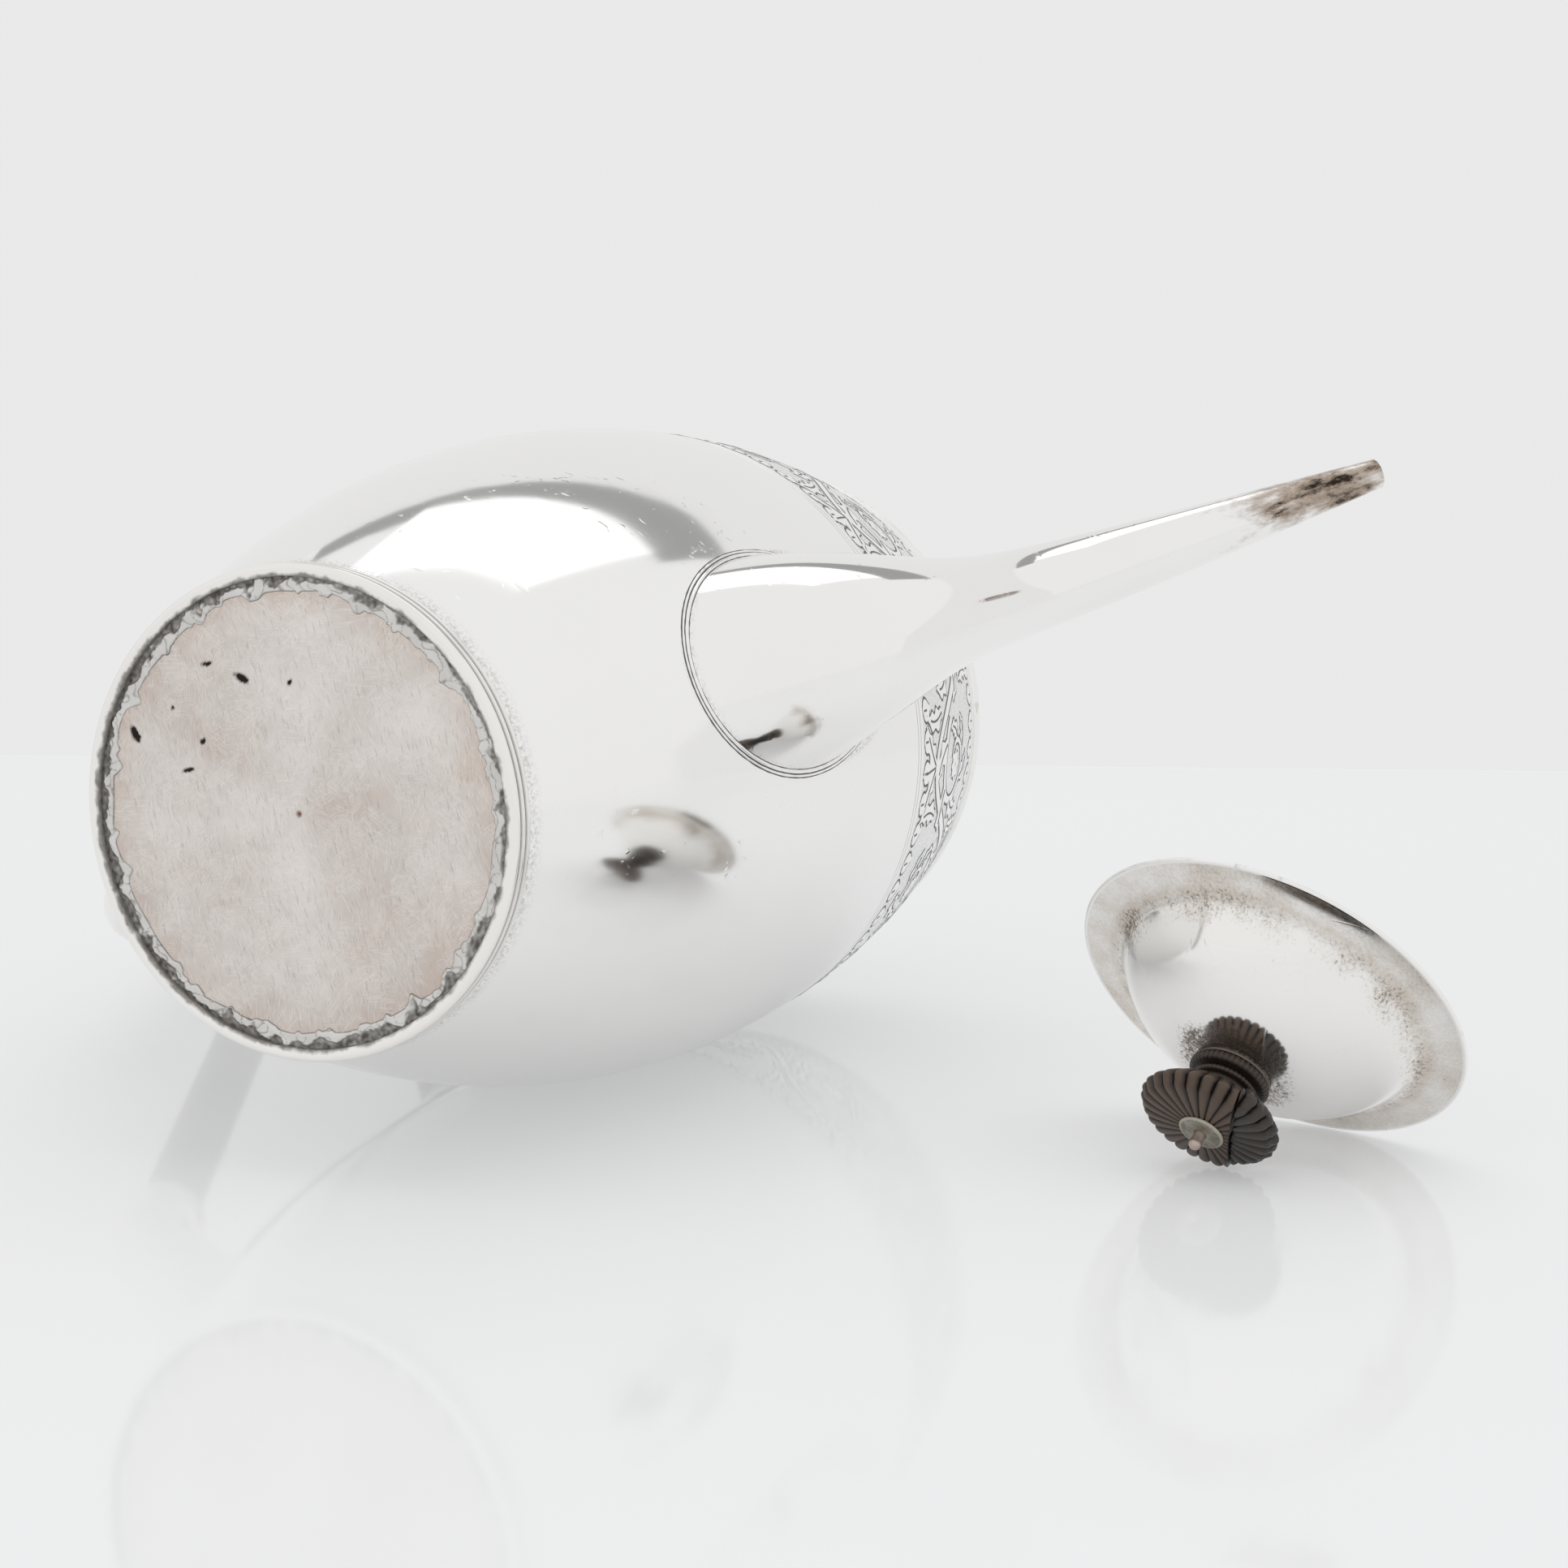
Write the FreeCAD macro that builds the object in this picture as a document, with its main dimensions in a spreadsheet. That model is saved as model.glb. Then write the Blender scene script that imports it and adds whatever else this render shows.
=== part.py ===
import FreeCAD, Part
import math
import os
import re

import Sketcher
from FreeCAD import Placement, Rotation, Vector

# Silver coffee pot lying on its belly and handle, with its lid lifted off and lying beside it.
# Each piece is drawn upright about its own axis and then laid down by its Placement.
# Millimetres, degrees and counts.
SIZES = {
    # Egg-shaped body
    "belly_radius": 68.0,
    "belly_height": 117.0,
    "body_wall": 0.75,
    "shoulder_radius": 58.3,
    "shoulder_height": 196.0,
    # Foot
    "foot_radius": 45.0,
    "foot_width": 2.4,
    "foot_height": 5.4,
    "foot_reeds": 3,
    "plate_recess": 1.2,
    "plate_thickness": 0.8,
    "seam_width": 1.9,
    "seam_height": 0.6,
    "seam_swell": 0.7,
    # Shoulder and mouth
    "moulding_height": 3.0,
    "moulding_width": 2.6,
    "moulding_reeds": 3,
    "mouth_radius": 36.0,
    "collar_rise": 5.0,
    "collar_wall": 1.0,
    "collar_depth": 10.0,
    "lip_width": 1.4,
    "lip_height": 2.2,
    "cavetto_height": 9.0,
    # Spout: reach from the pot's axis, height above the foot, half length along and half width across
    "spout_wall": 0.55,
    "spout_root_reach": 38.5,
    "spout_root_height": 70.0,
    "spout_root_length": 29.5,
    "spout_root_width": 25.4,
    "spout_bulb_reach": 64.0,
    "spout_bulb_height": 93.0,
    "spout_bulb_length": 20.9,
    "spout_bulb_width": 20.9,
    "spout_waist_reach": 79.0,
    "spout_waist_height": 119.0,
    "spout_waist_length": 13.3,
    "spout_waist_width": 13.3,
    "spout_neck_reach": 88.5,
    "spout_neck_height": 151.0,
    "spout_neck_radius": 9.7,
    "spout_stem_reach": 108.5,
    "spout_stem_height": 178.6,
    "spout_stem_radius": 7.7,
    "spout_tip_reach": 157.5,
    "spout_tip_height": 214.6,
    "spout_tip_radius": 3.3,
    "root_wire_width": 1.1,
    "root_wire_height": 0.8,
    "strainer_hole_radius": 1.9,
    "strainer_pitch": 7.5,
    "strainer_rings": 2,
    # Handle: how far its parts stand out from the belly, and how far they lie below belly, shoulder and mouth
    "grip_radius": 6.5,
    "handle_out": 94.5,
    "grip_angle": 26.0,
    "grip_bend_radius": 20.0,
    "tenon_depth": 11.0,
    "socket_mouth_radius": 8.2,
    "socket_bead": 0.8,
    "lower_mouth_out": 20.5,
    "lower_mouth_drop": 43.0,
    "lower_root_drop": 27.0,
    "lower_root_length": 16.5,
    "lower_root_width": 11.5,
    "upper_mouth_out": 15.0,
    "upper_mouth_drop": 6.0,
    "upper_root_drop": 19.0,
    "upper_root_length": 14.0,
    "upper_root_width": 10.5,
    "pin_radius": 1.0,
    "pin_proud": 0.5,
    # Lid, measured up from the underside of its bezel
    "bezel_height": 7.0,
    "bezel_wall": 1.0,
    "lid_clearance": 0.3,
    "lid_wall": 0.8,
    "brim_radius": 38.3,
    "brim_edge": 0.9,
    "rim_wire_width": 0.8,
    "dome_radius": 30.0,
    "dome_foot": 3.2,
    "dome_height": 18.8,
    # Finial
    "seat_radius": 7.5,
    "seat_thickness": 0.6,
    "finial_pin_radius": 1.2,
    "finial_pin_end": 3.4,
    "pin_hole_gap": 0.05,
    "finial_collar_radius": 7.0,
    "finial_collar_height": 5.2,
    "finial_neck_radius": 5.2,
    "knob_radius": 13.6,
    "knob_height": 8.6,
    "knob_lobes": 28,
    "lobe_share": 0.07,
    "washer_radius": 4.4,
    "washer_thickness": 0.7,
    "break_offset": 5.4,
    "break_angle": 68.0,
    "break_slip": 0.4,
    "nut_width": 6.0,
    "nut_thickness": 2.4,
    # Where the lid lies, seen from above: centre of its rim from the foot and from the pot's axis
    "lid_from_foot": 101.3,
    "lid_from_axis": 153.4,
    "lid_angle": 165.1,
}

doc = FreeCAD.newDocument("coffee_pot")
sheet = doc.addObject("Spreadsheet::Sheet", "sizes")
for row, (alias, number) in enumerate(SIZES.items(), start=1):
    sheet.set(f"A{row}", alias)
    sheet.set(f"B{row}", str(number))
    sheet.setAlias(f"B{row}", alias)
doc.recompute()


def cells(text):
    # "belly_radius - body_wall" becomes "sizes.belly_radius - sizes.body_wall"
    return re.sub(r"[a-z_]+", lambda word: f"sizes.{word[0]}" if word[0] in SIZES else word[0], text)


def size(text):
    return float(sheet.evalExpression(cells(text)))


def origin_plane(body, role):
    return next(feature for feature in body.Origin.OriginFeatures if feature.Role == role)


# Turned pieces: a closed outline of corners (radius, height), spun about the piece's axis

def arc_centre(kind, start, end):
    # Where a bend's centre lies, for each way of saying how it runs into its ends
    if kind == "round":
        return (start + end) * 0.5
    if kind == "on_axis":
        rise = start.y - end.y
        height = (start.x ** 2 - end.x ** 2 + start.y ** 2 - end.y ** 2) / (2 * rise)
        return Vector(0, height, 0)
    fixed, other = (start, end) if kind.endswith("start") else (end, start)
    away = fixed - other
    if kind.startswith("upright"):
        return Vector((fixed.x ** 2 - other.x ** 2 - away.y ** 2) / (2 * away.x), fixed.y, 0)
    return Vector(fixed.x, (fixed.y ** 2 - other.y ** 2 - away.x ** 2) / (2 * away.y), 0)


def arc_between(kind, start, end):
    centre = arc_centre(kind, start, end)
    reach = (start - centre).Length
    if kind == "round":
        outward = Vector(end.y - start.y, start.x - end.x, 0).normalize()
    else:
        outward = ((start + end) * 0.5 - centre).normalize()
    return Part.Arc(start, centre + outward * reach, end)


def arc_rule(sketch, edge, kind, start_end, end_end):
    # The constraint that keeps a bend running into its ends the same way when sizes change
    if kind == "round":
        return Sketcher.Constraint("Symmetric", edge, 1, edge, 2, edge, 3)
    if kind == "on_axis":
        return Sketcher.Constraint("PointOnObject", edge, 3, -2)
    end = start_end if kind.endswith("start") else end_end
    return Sketcher.Constraint("Horizontal" if kind.startswith("upright") else "Vertical", edge, 3, edge, end)


def draw_outline(sketch, corners, arcs):
    points = [Vector(size(radius), size(height), 0) for radius, height in corners]
    count = len(points)
    ends = []
    for edge, start in enumerate(points):
        end = points[(edge + 1) % count]
        curve = arc_between(arcs[edge], start, end) if edge in arcs else Part.LineSegment(start, end)
        sketch.addGeometry(curve)
        first = 1 if (sketch.getPoint(edge, 1) - start).Length < 1e-6 else 2
        ends.append((first, 3 - first))
    for edge in range(count):
        following = (edge + 1) % count
        join = Sketcher.Constraint("Coincident", edge, ends[edge][1], following, ends[following][0])
        sketch.addConstraint(join)
    for edge, kind in arcs.items():
        sketch.addConstraint(arc_rule(sketch, edge, kind, *ends[edge]))
    for edge, corner in enumerate(corners):
        for way, axis, text in (("DistanceX", -2, corner[0]), ("DistanceY", -1, corner[1])):
            if text == "0":
                sketch.addConstraint(Sketcher.Constraint("PointOnObject", edge, ends[edge][0], axis))
                continue
            place = sketch.addConstraint(
                Sketcher.Constraint(way, -1, 1, edge, ends[edge][0], size(text)))
            sketch.setExpression(f"Constraints[{place}]", cells(text))


def lathe(label, corners, arcs=None):
    body = doc.addObject("PartDesign::Body", label)
    body.Label = label
    sketch = body.newObject("Sketcher::SketchObject", f"{label}_outline")
    sketch.AttachmentSupport = [(origin_plane(body, "XZ_Plane"), "")]
    sketch.MapMode = "FlatFace"
    draw_outline(sketch, corners, arcs or {})
    turn = body.newObject("PartDesign::Revolution", f"{label}_turn")
    turn.Profile = sketch
    turn.ReferenceAxis = (sketch, ["V_Axis"])
    turn.Angle = 360
    return body


def reeded_ring(label, inner, outer, bottom, height, reeds):
    # A ring whose outer side is a stack of half-round reeds
    count = int(size(reeds))
    corners = [(inner, f"{bottom} + {height}"), (inner, bottom)]
    corners += [(outer, f"{bottom} + ({height}) * {step} / {count}") for step in range(count + 1)]
    return lathe(label, corners, {step + 2: "round" for step in range(count)})


# Lofted pieces: elliptic sections along a bent centre line in the upright plane of spout and handle.
# A station is (reach from the pot's axis, height, half length in that plane, half width across it).

def section(name, side, middle, along, length, width):
    # side is -1 towards the spout and 1 towards the handle
    along = Vector(0, side * along.y, along.z).normalize()
    across = Vector(0, -side * along.z, side * along.y)
    ring = doc.addObject("Part::Ellipse", name)
    ring.MajorRadius = length
    ring.MinorRadius = min(length, width)
    middle = Vector(0, side * middle.y, middle.z)
    ring.Placement = Placement(middle, Rotation(across, along.cross(across), along, "ZXY"))
    return ring


def loft(name, side, stations, grow=0.0, overrun=0.0, count=12):
    # A smooth curve through the stations carries evenly spread sections, grown by the given amount
    middles = [Vector(0, reach, height) for reach, height, length, width in stations]
    line = Part.BSplineCurve()
    line.interpolate(middles)
    girth = Part.BSplineCurve()
    girth.interpolate(
        Points=[Vector(length, width, 0) for reach, height, length, width in stations],
        Parameters=[line.parameter(middle) for middle in middles])
    rings = []
    for step in range(count + 1):
        spot = line.FirstParameter + (line.LastParameter - line.FirstParameter) * step / count
        along = line.tangent(spot)[0]
        middle = line.value(spot) + along * (overrun if step == count else 0.0)
        across = girth.value(spot)
        rings.append(section(f"{name}_{step}", side, middle, along, across.x + grow, across.y + grow))
    solid = doc.addObject("Part::Loft", name)
    solid.Sections = rings
    solid.Solid = True
    solid.MaxDegree = 3
    return solid


def combine(kind, name, first, second):
    result = doc.addObject(f"Part::{kind}", name)
    result.Base = first
    result.Tool = second
    return result


def cut(name, first, *tools):
    for step, tool in enumerate(tools, start=1):
        last = step == len(tools)
        first = combine("Cut", name if last else f"{name}_step_{step}", first, tool)
    first.Label = name
    return first


def rod(name, radius, start, end):
    # A round bar from start to end
    bar = doc.addObject("Part::Cylinder", name)
    bar.setExpression("Radius", cells(radius))
    bar.Height = (end - start).Length
    bar.Placement = Placement(start, Rotation(Vector(0, 0, 1), end - start))
    return bar


# Pot body and foot
wall_foot = "foot_radius - foot_height / foot_reeds / 2"
wall_top = "shoulder_radius"


def body_outline(offset):
    # Right side of the egg from foot to shoulder, moved outward by offset
    return [
        (f"{wall_foot} + {offset}", "foot_height"),
        (f"belly_radius + {offset}", "belly_height"),
        (f"{wall_top} + {offset}", "shoulder_height"),
    ]


def body_plug(name, offset):
    # The egg as a solid, for trimming what is soldered onto it
    return lathe(
        name,
        body_outline(offset) + [("0", "shoulder_height"), ("0", "foot_height")],
        {0: "upright_end", 1: "upright_start"},
    )


body_shell = lathe(
    "body_shell",
    body_outline("0 * body_wall") + body_outline("-body_wall")[::-1],
    {0: "upright_end", 1: "upright_start", 3: "upright_end", 4: "upright_start"},
)

# Strainer: rings of small holes through the wall behind the spout
holes = body_shell.newObject("Sketcher::SketchObject", "strainer_holes")
holes.AttachmentSupport = [(origin_plane(body_shell, "XZ_Plane"), "")]
holes.MapMode = "FlatFace"
strainer_height = "spout_bulb_height - spout_bulb_length / 4"
hole_places = [(0, 0)]
for ring in range(1, int(size("strainer_rings")) + 1):
    hole_places += [(ring, 60.0 * step / ring) for step in range(6 * ring)]
for number, (ring, turn) in enumerate(hole_places):
    across = f"strainer_pitch * {ring * math.cos(math.radians(turn)):.6f}"
    up = f"{strainer_height} + strainer_pitch * {ring * math.sin(math.radians(turn)):.6f}"
    middle = Vector(size(across), size(up), 0)
    holes.addGeometry(Part.Circle(middle, Vector(0, 0, 1), size("strainer_hole_radius")))
    for kind, text in (("DistanceX", across), ("DistanceY", up)):
        place = holes.addConstraint(Sketcher.Constraint(kind, -1, 1, number, 3, size(text)))
        holes.setExpression(f"Constraints[{place}]", cells(text))
    place = holes.addConstraint(Sketcher.Constraint("Radius", number, size("strainer_hole_radius")))
    holes.setExpression(f"Constraints[{place}]", cells("strainer_hole_radius"))
doc.recompute()
plain_volume = body_shell.Shape.Volume
strainer = body_shell.newObject("PartDesign::Pocket", "strainer")
strainer.Profile = holes
strainer.Type = "Length"
strainer.setExpression("Length", cells("belly_radius * 1.1"))
strainer.Reversed = True
doc.recompute()
hole_count = len(hole_places)
print(f"strainer: {hole_count} holes take {plain_volume - body_shell.Shape.Volume:.1f} mm3 out of the wall")

foot_bore = "foot_radius - foot_width"
foot_ring = reeded_ring(
    "foot_ring", foot_bore, wall_foot, "0 * foot_height", "foot_height", "foot_reeds")
base_plate = lathe("base_plate", [
    ("0", "plate_recess"),
    (foot_bore, "plate_recess"),
    (foot_bore, "plate_recess + plate_thickness"),
    ("0", "plate_recess + plate_thickness"),
])

# Uneven solder between plate and ring: its inner edge swells and shrinks round the base
SEAM_WAVES = ((5, 0.35, 0.4), (9, 0.30, 2.1), (14, 0.25, 4.0), (23, 0.20, 1.3))
seam_bottom = size("plate_recess - seam_height")


def seam_point(degrees):
    angle = math.radians(degrees)
    swell = sum(share * math.sin(waves * angle + phase) for waves, share, phase in SEAM_WAVES)
    radius = size(foot_bore) - size("seam_width") - size("seam_swell") * swell
    return Vector(radius * math.cos(angle), radius * math.sin(angle), seam_bottom)


inner_edge = Part.Wire([
    Part.Arc(seam_point(degrees), seam_point(degrees + 2), seam_point(degrees + 4)).toShape()
    for degrees in range(0, 360, 4)
])
seam_core = doc.addObject("Part::Feature", "seam_core")
seam_core.Shape = Part.Face(inner_edge).extrude(Vector(0, 0, size("seam_height")))
seam_disc = rod("seam_disc", foot_bore, Vector(0, 0, seam_bottom), Vector(0, 0, size("plate_recess")))
base_solder_seam = cut("base_solder_seam", seam_disc, seam_core)

# Shoulder and mouth, stacked on the body's upper edge
moulding_top = "shoulder_height + moulding_height"
reed = "moulding_height / moulding_reeds / 2"
shoulder_wire = reeded_ring(
    "shoulder_wire", "shoulder_radius - moulding_width", "shoulder_radius",
    "shoulder_height", "moulding_height", "moulding_reeds")
collar_outside = "mouth_radius + collar_wall"
shoulder_plate = lathe("shoulder_plate", [
    (f"shoulder_radius - {reed}", moulding_top),
    (f"shoulder_radius - {reed}", f"{moulding_top} + body_wall"),
    (collar_outside, f"{moulding_top} + cavetto_height"),
    (collar_outside, f"{moulding_top} + cavetto_height - body_wall * 1.7"),
    (f"shoulder_radius - {reed} - body_wall * 0.5", moulding_top),
], {1: "flat_start", 3: "flat_end"})
mouth_top = f"{moulding_top} + cavetto_height + collar_rise"
mouth_collar = lathe("mouth_collar", [
    ("mouth_radius", f"{mouth_top} - collar_depth"),
    (collar_outside, f"{mouth_top} - collar_depth"),
    (collar_outside, f"{mouth_top} - lip_height"),
    (f"{collar_outside} + lip_width - lip_height / 2", f"{mouth_top} - lip_height"),
    (f"{collar_outside} + lip_width - lip_height / 2", mouth_top),
    ("mouth_radius", mouth_top),
], {3: "round"})

# Spout: swollen root, drawn-in waist, then a long straight taper
SPOUT = -1
spout_stations = [
    [size(f"spout_{place}_{word}") for word in ("reach", "height", "length", "width")]
    for place in ("root", "bulb", "waist")
]
spout_stations += [
    [size(f"spout_{place}_{word}") for word in ("reach", "height", "radius", "radius")]
    for place in ("neck", "stem", "tip")
]
spout_solid = loft("spout_solid", SPOUT, spout_stations)
spout_bore = loft("spout_bore", SPOUT, spout_stations, -size("spout_wall"), size("spout_wall"))
spout_trim = body_plug("spout_trim", "0 * body_wall")
spout_shell = cut("spout_shell", spout_solid, spout_bore, spout_trim)

# Thin wire soldered into the corner between spout and body
wire_sleeve = loft("wire_sleeve", SPOUT, spout_stations, size("root_wire_width"))
wire_cover = body_plug("wire_cover", "root_wire_height")
wire_blank = combine("Common", "wire_blank", wire_sleeve, wire_cover)
wire_core = loft("wire_core", SPOUT, spout_stations)
wire_trim = body_plug("wire_trim", "0 * body_wall")
spout_root_wire = cut("spout_root_wire", wire_blank, wire_core, wire_trim)

# Handle: a slanting grip, a bend at the top and an arm down to the upper socket, as reach and height
HANDLE = 1
slant = math.radians(size("grip_angle"))
grip_way = Vector(0, math.sin(slant), math.cos(slant))
bend = size("grip_bend_radius")
handle_reach = "belly_radius + handle_out"
lower_mouth_height = "belly_height - lower_mouth_drop"
upper_mouth_height = "shoulder_height - upper_mouth_drop"
lower_mouth = Vector(0, size("belly_radius + lower_mouth_out"), size(lower_mouth_height))
upper_mouth = Vector(0, size("belly_radius + upper_mouth_out"), size(upper_mouth_height))
bend_start_reach = size(handle_reach) - bend * (1 - math.cos(slant))
bend_start = lower_mouth + grip_way * ((bend_start_reach - lower_mouth.y) / math.sin(slant))
bend_centre = bend_start + Vector(0, -math.cos(slant), math.sin(slant)) * bend
to_centre = bend_centre - upper_mouth
arm_rise = math.atan2(to_centre.z, to_centre.y) + math.asin(bend / to_centre.Length)
arm_way = Vector(0, math.cos(arm_rise), math.sin(arm_rise))
bend_end = upper_mouth + arm_way * math.sqrt(to_centre.Length ** 2 - bend ** 2)
half_turn = (math.pi / 2 + arm_rise - slant) / 2
bend_top = bend_centre + Vector(0, math.cos(half_turn), math.sin(half_turn)) * bend
lower_end = lower_mouth - grip_way * size("tenon_depth")
upper_end = upper_mouth - arm_way * size("tenon_depth")


def grip_blank(name):
    line = doc.addObject("Part::Feature", f"{name}_line")
    line.Shape = Part.Wire([
        Part.LineSegment(lower_end, bend_start).toShape(),
        Part.Arc(bend_start, bend_top, bend_end).toShape(),
        Part.LineSegment(bend_end, upper_end).toShape(),
    ])
    ring = doc.addObject("Part::Circle", f"{name}_ring")
    ring.setExpression("Radius", cells("grip_radius"))
    ring.Placement = Placement(lower_end, Rotation(Vector(0, 0, 1), grip_way))
    sweep = doc.addObject("Part::Sweep", name)
    sweep.Sections = [ring]
    sweep.Spine = (line, ["Edge1", "Edge2", "Edge3"])
    sweep.Solid = True
    return sweep


def socket(label, mouth, way, root_height, root_length, root_width, grip_tool, pin_tool):
    # A cast horn that flares from the grip's end to the body, bored for the tenon
    throat = size("socket_mouth_radius")
    length, width = size(root_length), size(root_width)
    root = Vector(0, size("belly_radius * 0.72"), size(root_height))
    knee = mouth - way * size("tenon_depth * 1.3")
    middle = root * 0.45 + knee * 0.55
    stations = [
        (root.y, root.z, length, width),
        (middle.y, middle.z, length * 0.5 + throat * 0.5, width * 0.5 + throat * 0.5),
        (knee.y, knee.z, throat * 1.06, throat * 1.04),
    ]
    horn = loft(f"{label}_horn", HANDLE, stations + [(mouth.y, mouth.z, throat, throat)], count=8)
    bead =doc.addObject("Part::Torus", f"{label}_bead")
    bead.setExpression("Radius1", cells("socket_mouth_radius"))
    bead.setExpression("Radius2", cells("socket_bead"))
    bead.Placement = Placement(mouth - way * size("socket_bead"), Rotation(Vector(0, 0, 1), way))
    beaded = combine("Fuse", f"{label}_beaded", horn, bead)
    trim = body_plug(f"{label}_trim", "0 * body_wall")
    return cut(label, beaded, grip_tool, trim, pin_tool)


def handle_pin(name, mouth, way):
    middle = mouth - way * size("tenon_depth / 2")
    half = Vector(size("socket_mouth_radius + pin_proud"), 0, 0)
    return rod(name, "pin_radius", middle - half, middle + half)


lower_handle_pin = handle_pin("lower_handle_pin", lower_mouth, grip_way)
upper_handle_pin = handle_pin("upper_handle_pin", upper_mouth, arm_way)
lower_socket = socket(
    "lower_socket", lower_mouth, grip_way, f"{lower_mouth_height} - lower_root_drop",
    "lower_root_length", "lower_root_width",
    grip_blank("lower_tenon"), handle_pin("lower_socket_pinhole", lower_mouth, grip_way))
upper_socket = socket(
    "upper_socket", upper_mouth, arm_way, f"{upper_mouth_height} - upper_root_drop",
    "upper_root_length", "upper_root_width",
    grip_blank("upper_tenon"), handle_pin("upper_socket_pinhole", upper_mouth, arm_way))
handle_grip = cut(
    "handle_grip", grip_blank("grip_blank"),
    handle_pin("lower_grip_pinhole", lower_mouth, grip_way),
    handle_pin("upper_grip_pinhole", upper_mouth, arm_way))

# Lid: flared brim, domed crown with a flat for the finial, and a bezel that goes into the mouth
rim = "bezel_height"
bezel_outside = "mouth_radius - lid_clearance"
pin_hole = "finial_pin_radius + pin_hole_gap"
crown = f"{rim} + dome_height"
lid_shell = lathe("lid_shell", [
    (f"{bezel_outside} - bezel_wall", rim),
    ("brim_radius", rim),
    ("brim_radius", f"{rim} + brim_edge"),
    ("dome_radius", f"{rim} + dome_foot"),
    ("seat_radius", crown),
    (pin_hole, crown),
    (pin_hole, f"{crown} - lid_wall"),
    ("seat_radius", f"{crown} - lid_wall"),
    ("dome_radius - lid_wall", f"{rim} + dome_foot - lid_wall * 0.5"),
], {2: "flat_start", 3: "on_axis", 7: "on_axis"})
lid_bezel = lathe("lid_bezel", [
    (f"{bezel_outside} - bezel_wall", "0"),
    (bezel_outside, "0"),
    (bezel_outside, rim),
    (f"{bezel_outside} - bezel_wall", rim),
])
lid_rim_wire = reeded_ring(
    "lid_rim_wire", "brim_radius", "brim_radius + rim_wire_width - brim_edge / 2", rim, "brim_edge", "1")

# Finial, stacked on the crown along its pin
seat_top = f"{crown} + seat_thickness"
collar_top = f"{seat_top} + finial_collar_height"
knob_top = f"{collar_top} + knob_height"
finial_seat = lathe("finial_seat", [
    (pin_hole, crown),
    ("seat_radius", crown),
    ("seat_radius", seat_top),
    (pin_hole, seat_top),
])
finial_collar = lathe("finial_collar", [
    (pin_hole, seat_top),
    ("finial_collar_radius", seat_top),
    ("finial_collar_radius", f"{seat_top} + finial_collar_height * 0.4"),
    ("finial_neck_radius + 0.4 * (finial_collar_radius - finial_neck_radius)",
     f"{seat_top} + finial_collar_height * 0.45"),
    ("finial_neck_radius + 0.4 * (finial_collar_radius - finial_neck_radius)",
     f"{seat_top} + finial_collar_height * 0.7"),
    ("finial_neck_radius", f"{seat_top} + finial_collar_height * 0.75"),
    ("finial_neck_radius", collar_top),
    (pin_hole, collar_top),
], {1: "round", 3: "round"})


def lobed_ring(name, radius, height):
    # A closed ring of bulging lobes that meet in sharp flutes
    count = int(size("knob_lobes"))
    valley = radius * (1 - size("lobe_share"))

    def spot(reach, step):
        angle = 2 * math.pi * step / count
        return Vector(reach * math.cos(angle), reach * math.sin(angle), height)

    ring = doc.addObject("Part::Feature", name)
    ring.Shape = Part.Wire([
        Part.Arc(spot(valley, step - 0.5), spot(radius, step), spot(valley, step + 0.5)).toShape()
        for step in range(count)
    ])
    return ring


# The knob's rings from neck to washer: share of its radius and share of its height
KNOB_RINGS = ((0.47, 0.0), (0.70, 0.18), (0.92, 0.45), (1.0, 0.64), (0.93, 0.81), (0.66, 0.95), (0.34, 1.0))


def knob_blank(name):
    solid = doc.addObject("Part::Loft", name)
    solid.Sections = [
        lobed_ring(f"{name}_ring_{step}", size("knob_radius") * across,
                   size(collar_top) + size("knob_height") * up)
        for step, (across, up) in enumerate(KNOB_RINGS)
    ]
    solid.Solid = True
    hole = rod(f"{name}_hole", pin_hole, Vector(0, 0, size(collar_top)), Vector(0, 0, size(knob_top)))
    return combine("Cut", f"{name}_bored", solid, hole)


def break_block(name):
    # Everything beyond the old break, a plane beside the washer
    block = doc.addObject("Part::Box", name)
    wide = size("knob_radius * 4")
    block.Length = wide
    block.Width = wide
    block.Height = wide
    turn = Rotation(Vector(0, 0, 1), size("break_angle"))
    corner = turn.multVec(Vector(size("break_offset"), -wide / 2, 0))
    block.Placement = Placement(corner + Vector(0, 0, size(collar_top) - wide / 2), turn)
    return block


finial_knob = cut("finial_knob", knob_blank("knob_blank"), break_block("knob_break"))
finial_fragment = combine(
    "Common", "finial_fragment", knob_blank("fragment_blank"), break_block("fragment_break"))
finial_washer = lathe("finial_washer", [
    (pin_hole, knob_top),
    ("washer_radius", knob_top),
    ("washer_radius", f"{knob_top} + washer_thickness * 0.6"),
    ("washer_radius - washer_thickness * 0.4", f"{knob_top} + washer_thickness"),
    (pin_hole, f"{knob_top} + washer_thickness"),
])
nut_top = f"{crown} - lid_wall"
pin_top = f"{knob_top} + washer_thickness + finial_pin_end"
finial_pin = lathe("finial_pin", [
    ("0", f"{nut_top} - nut_thickness"),
    ("finial_pin_radius", f"{nut_top} - nut_thickness"),
    ("finial_pin_radius", f"{pin_top} - finial_pin_radius"),
    ("0", pin_top),
], {2: "upright_start"})
nut_blank = doc.addObject("Part::Box", "nut_blank")
nut_blank.setExpression("Length", cells("nut_width"))
nut_blank.setExpression("Width", cells("nut_width"))
nut_blank.setExpression("Height", cells("nut_thickness"))
half_nut = size("nut_width") / 2
nut_blank.Placement = Placement(
    Vector(-half_nut, -half_nut, size(f"{nut_top} - nut_thickness")), Rotation())
nut_hole = rod("nut_hole", "finial_pin_radius", Vector(0, 0, size(f"{nut_top} - nut_thickness")),
               Vector(0, 0, size(nut_top)))
finial_nut = cut("finial_nut", nut_blank, nut_hole)

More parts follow.
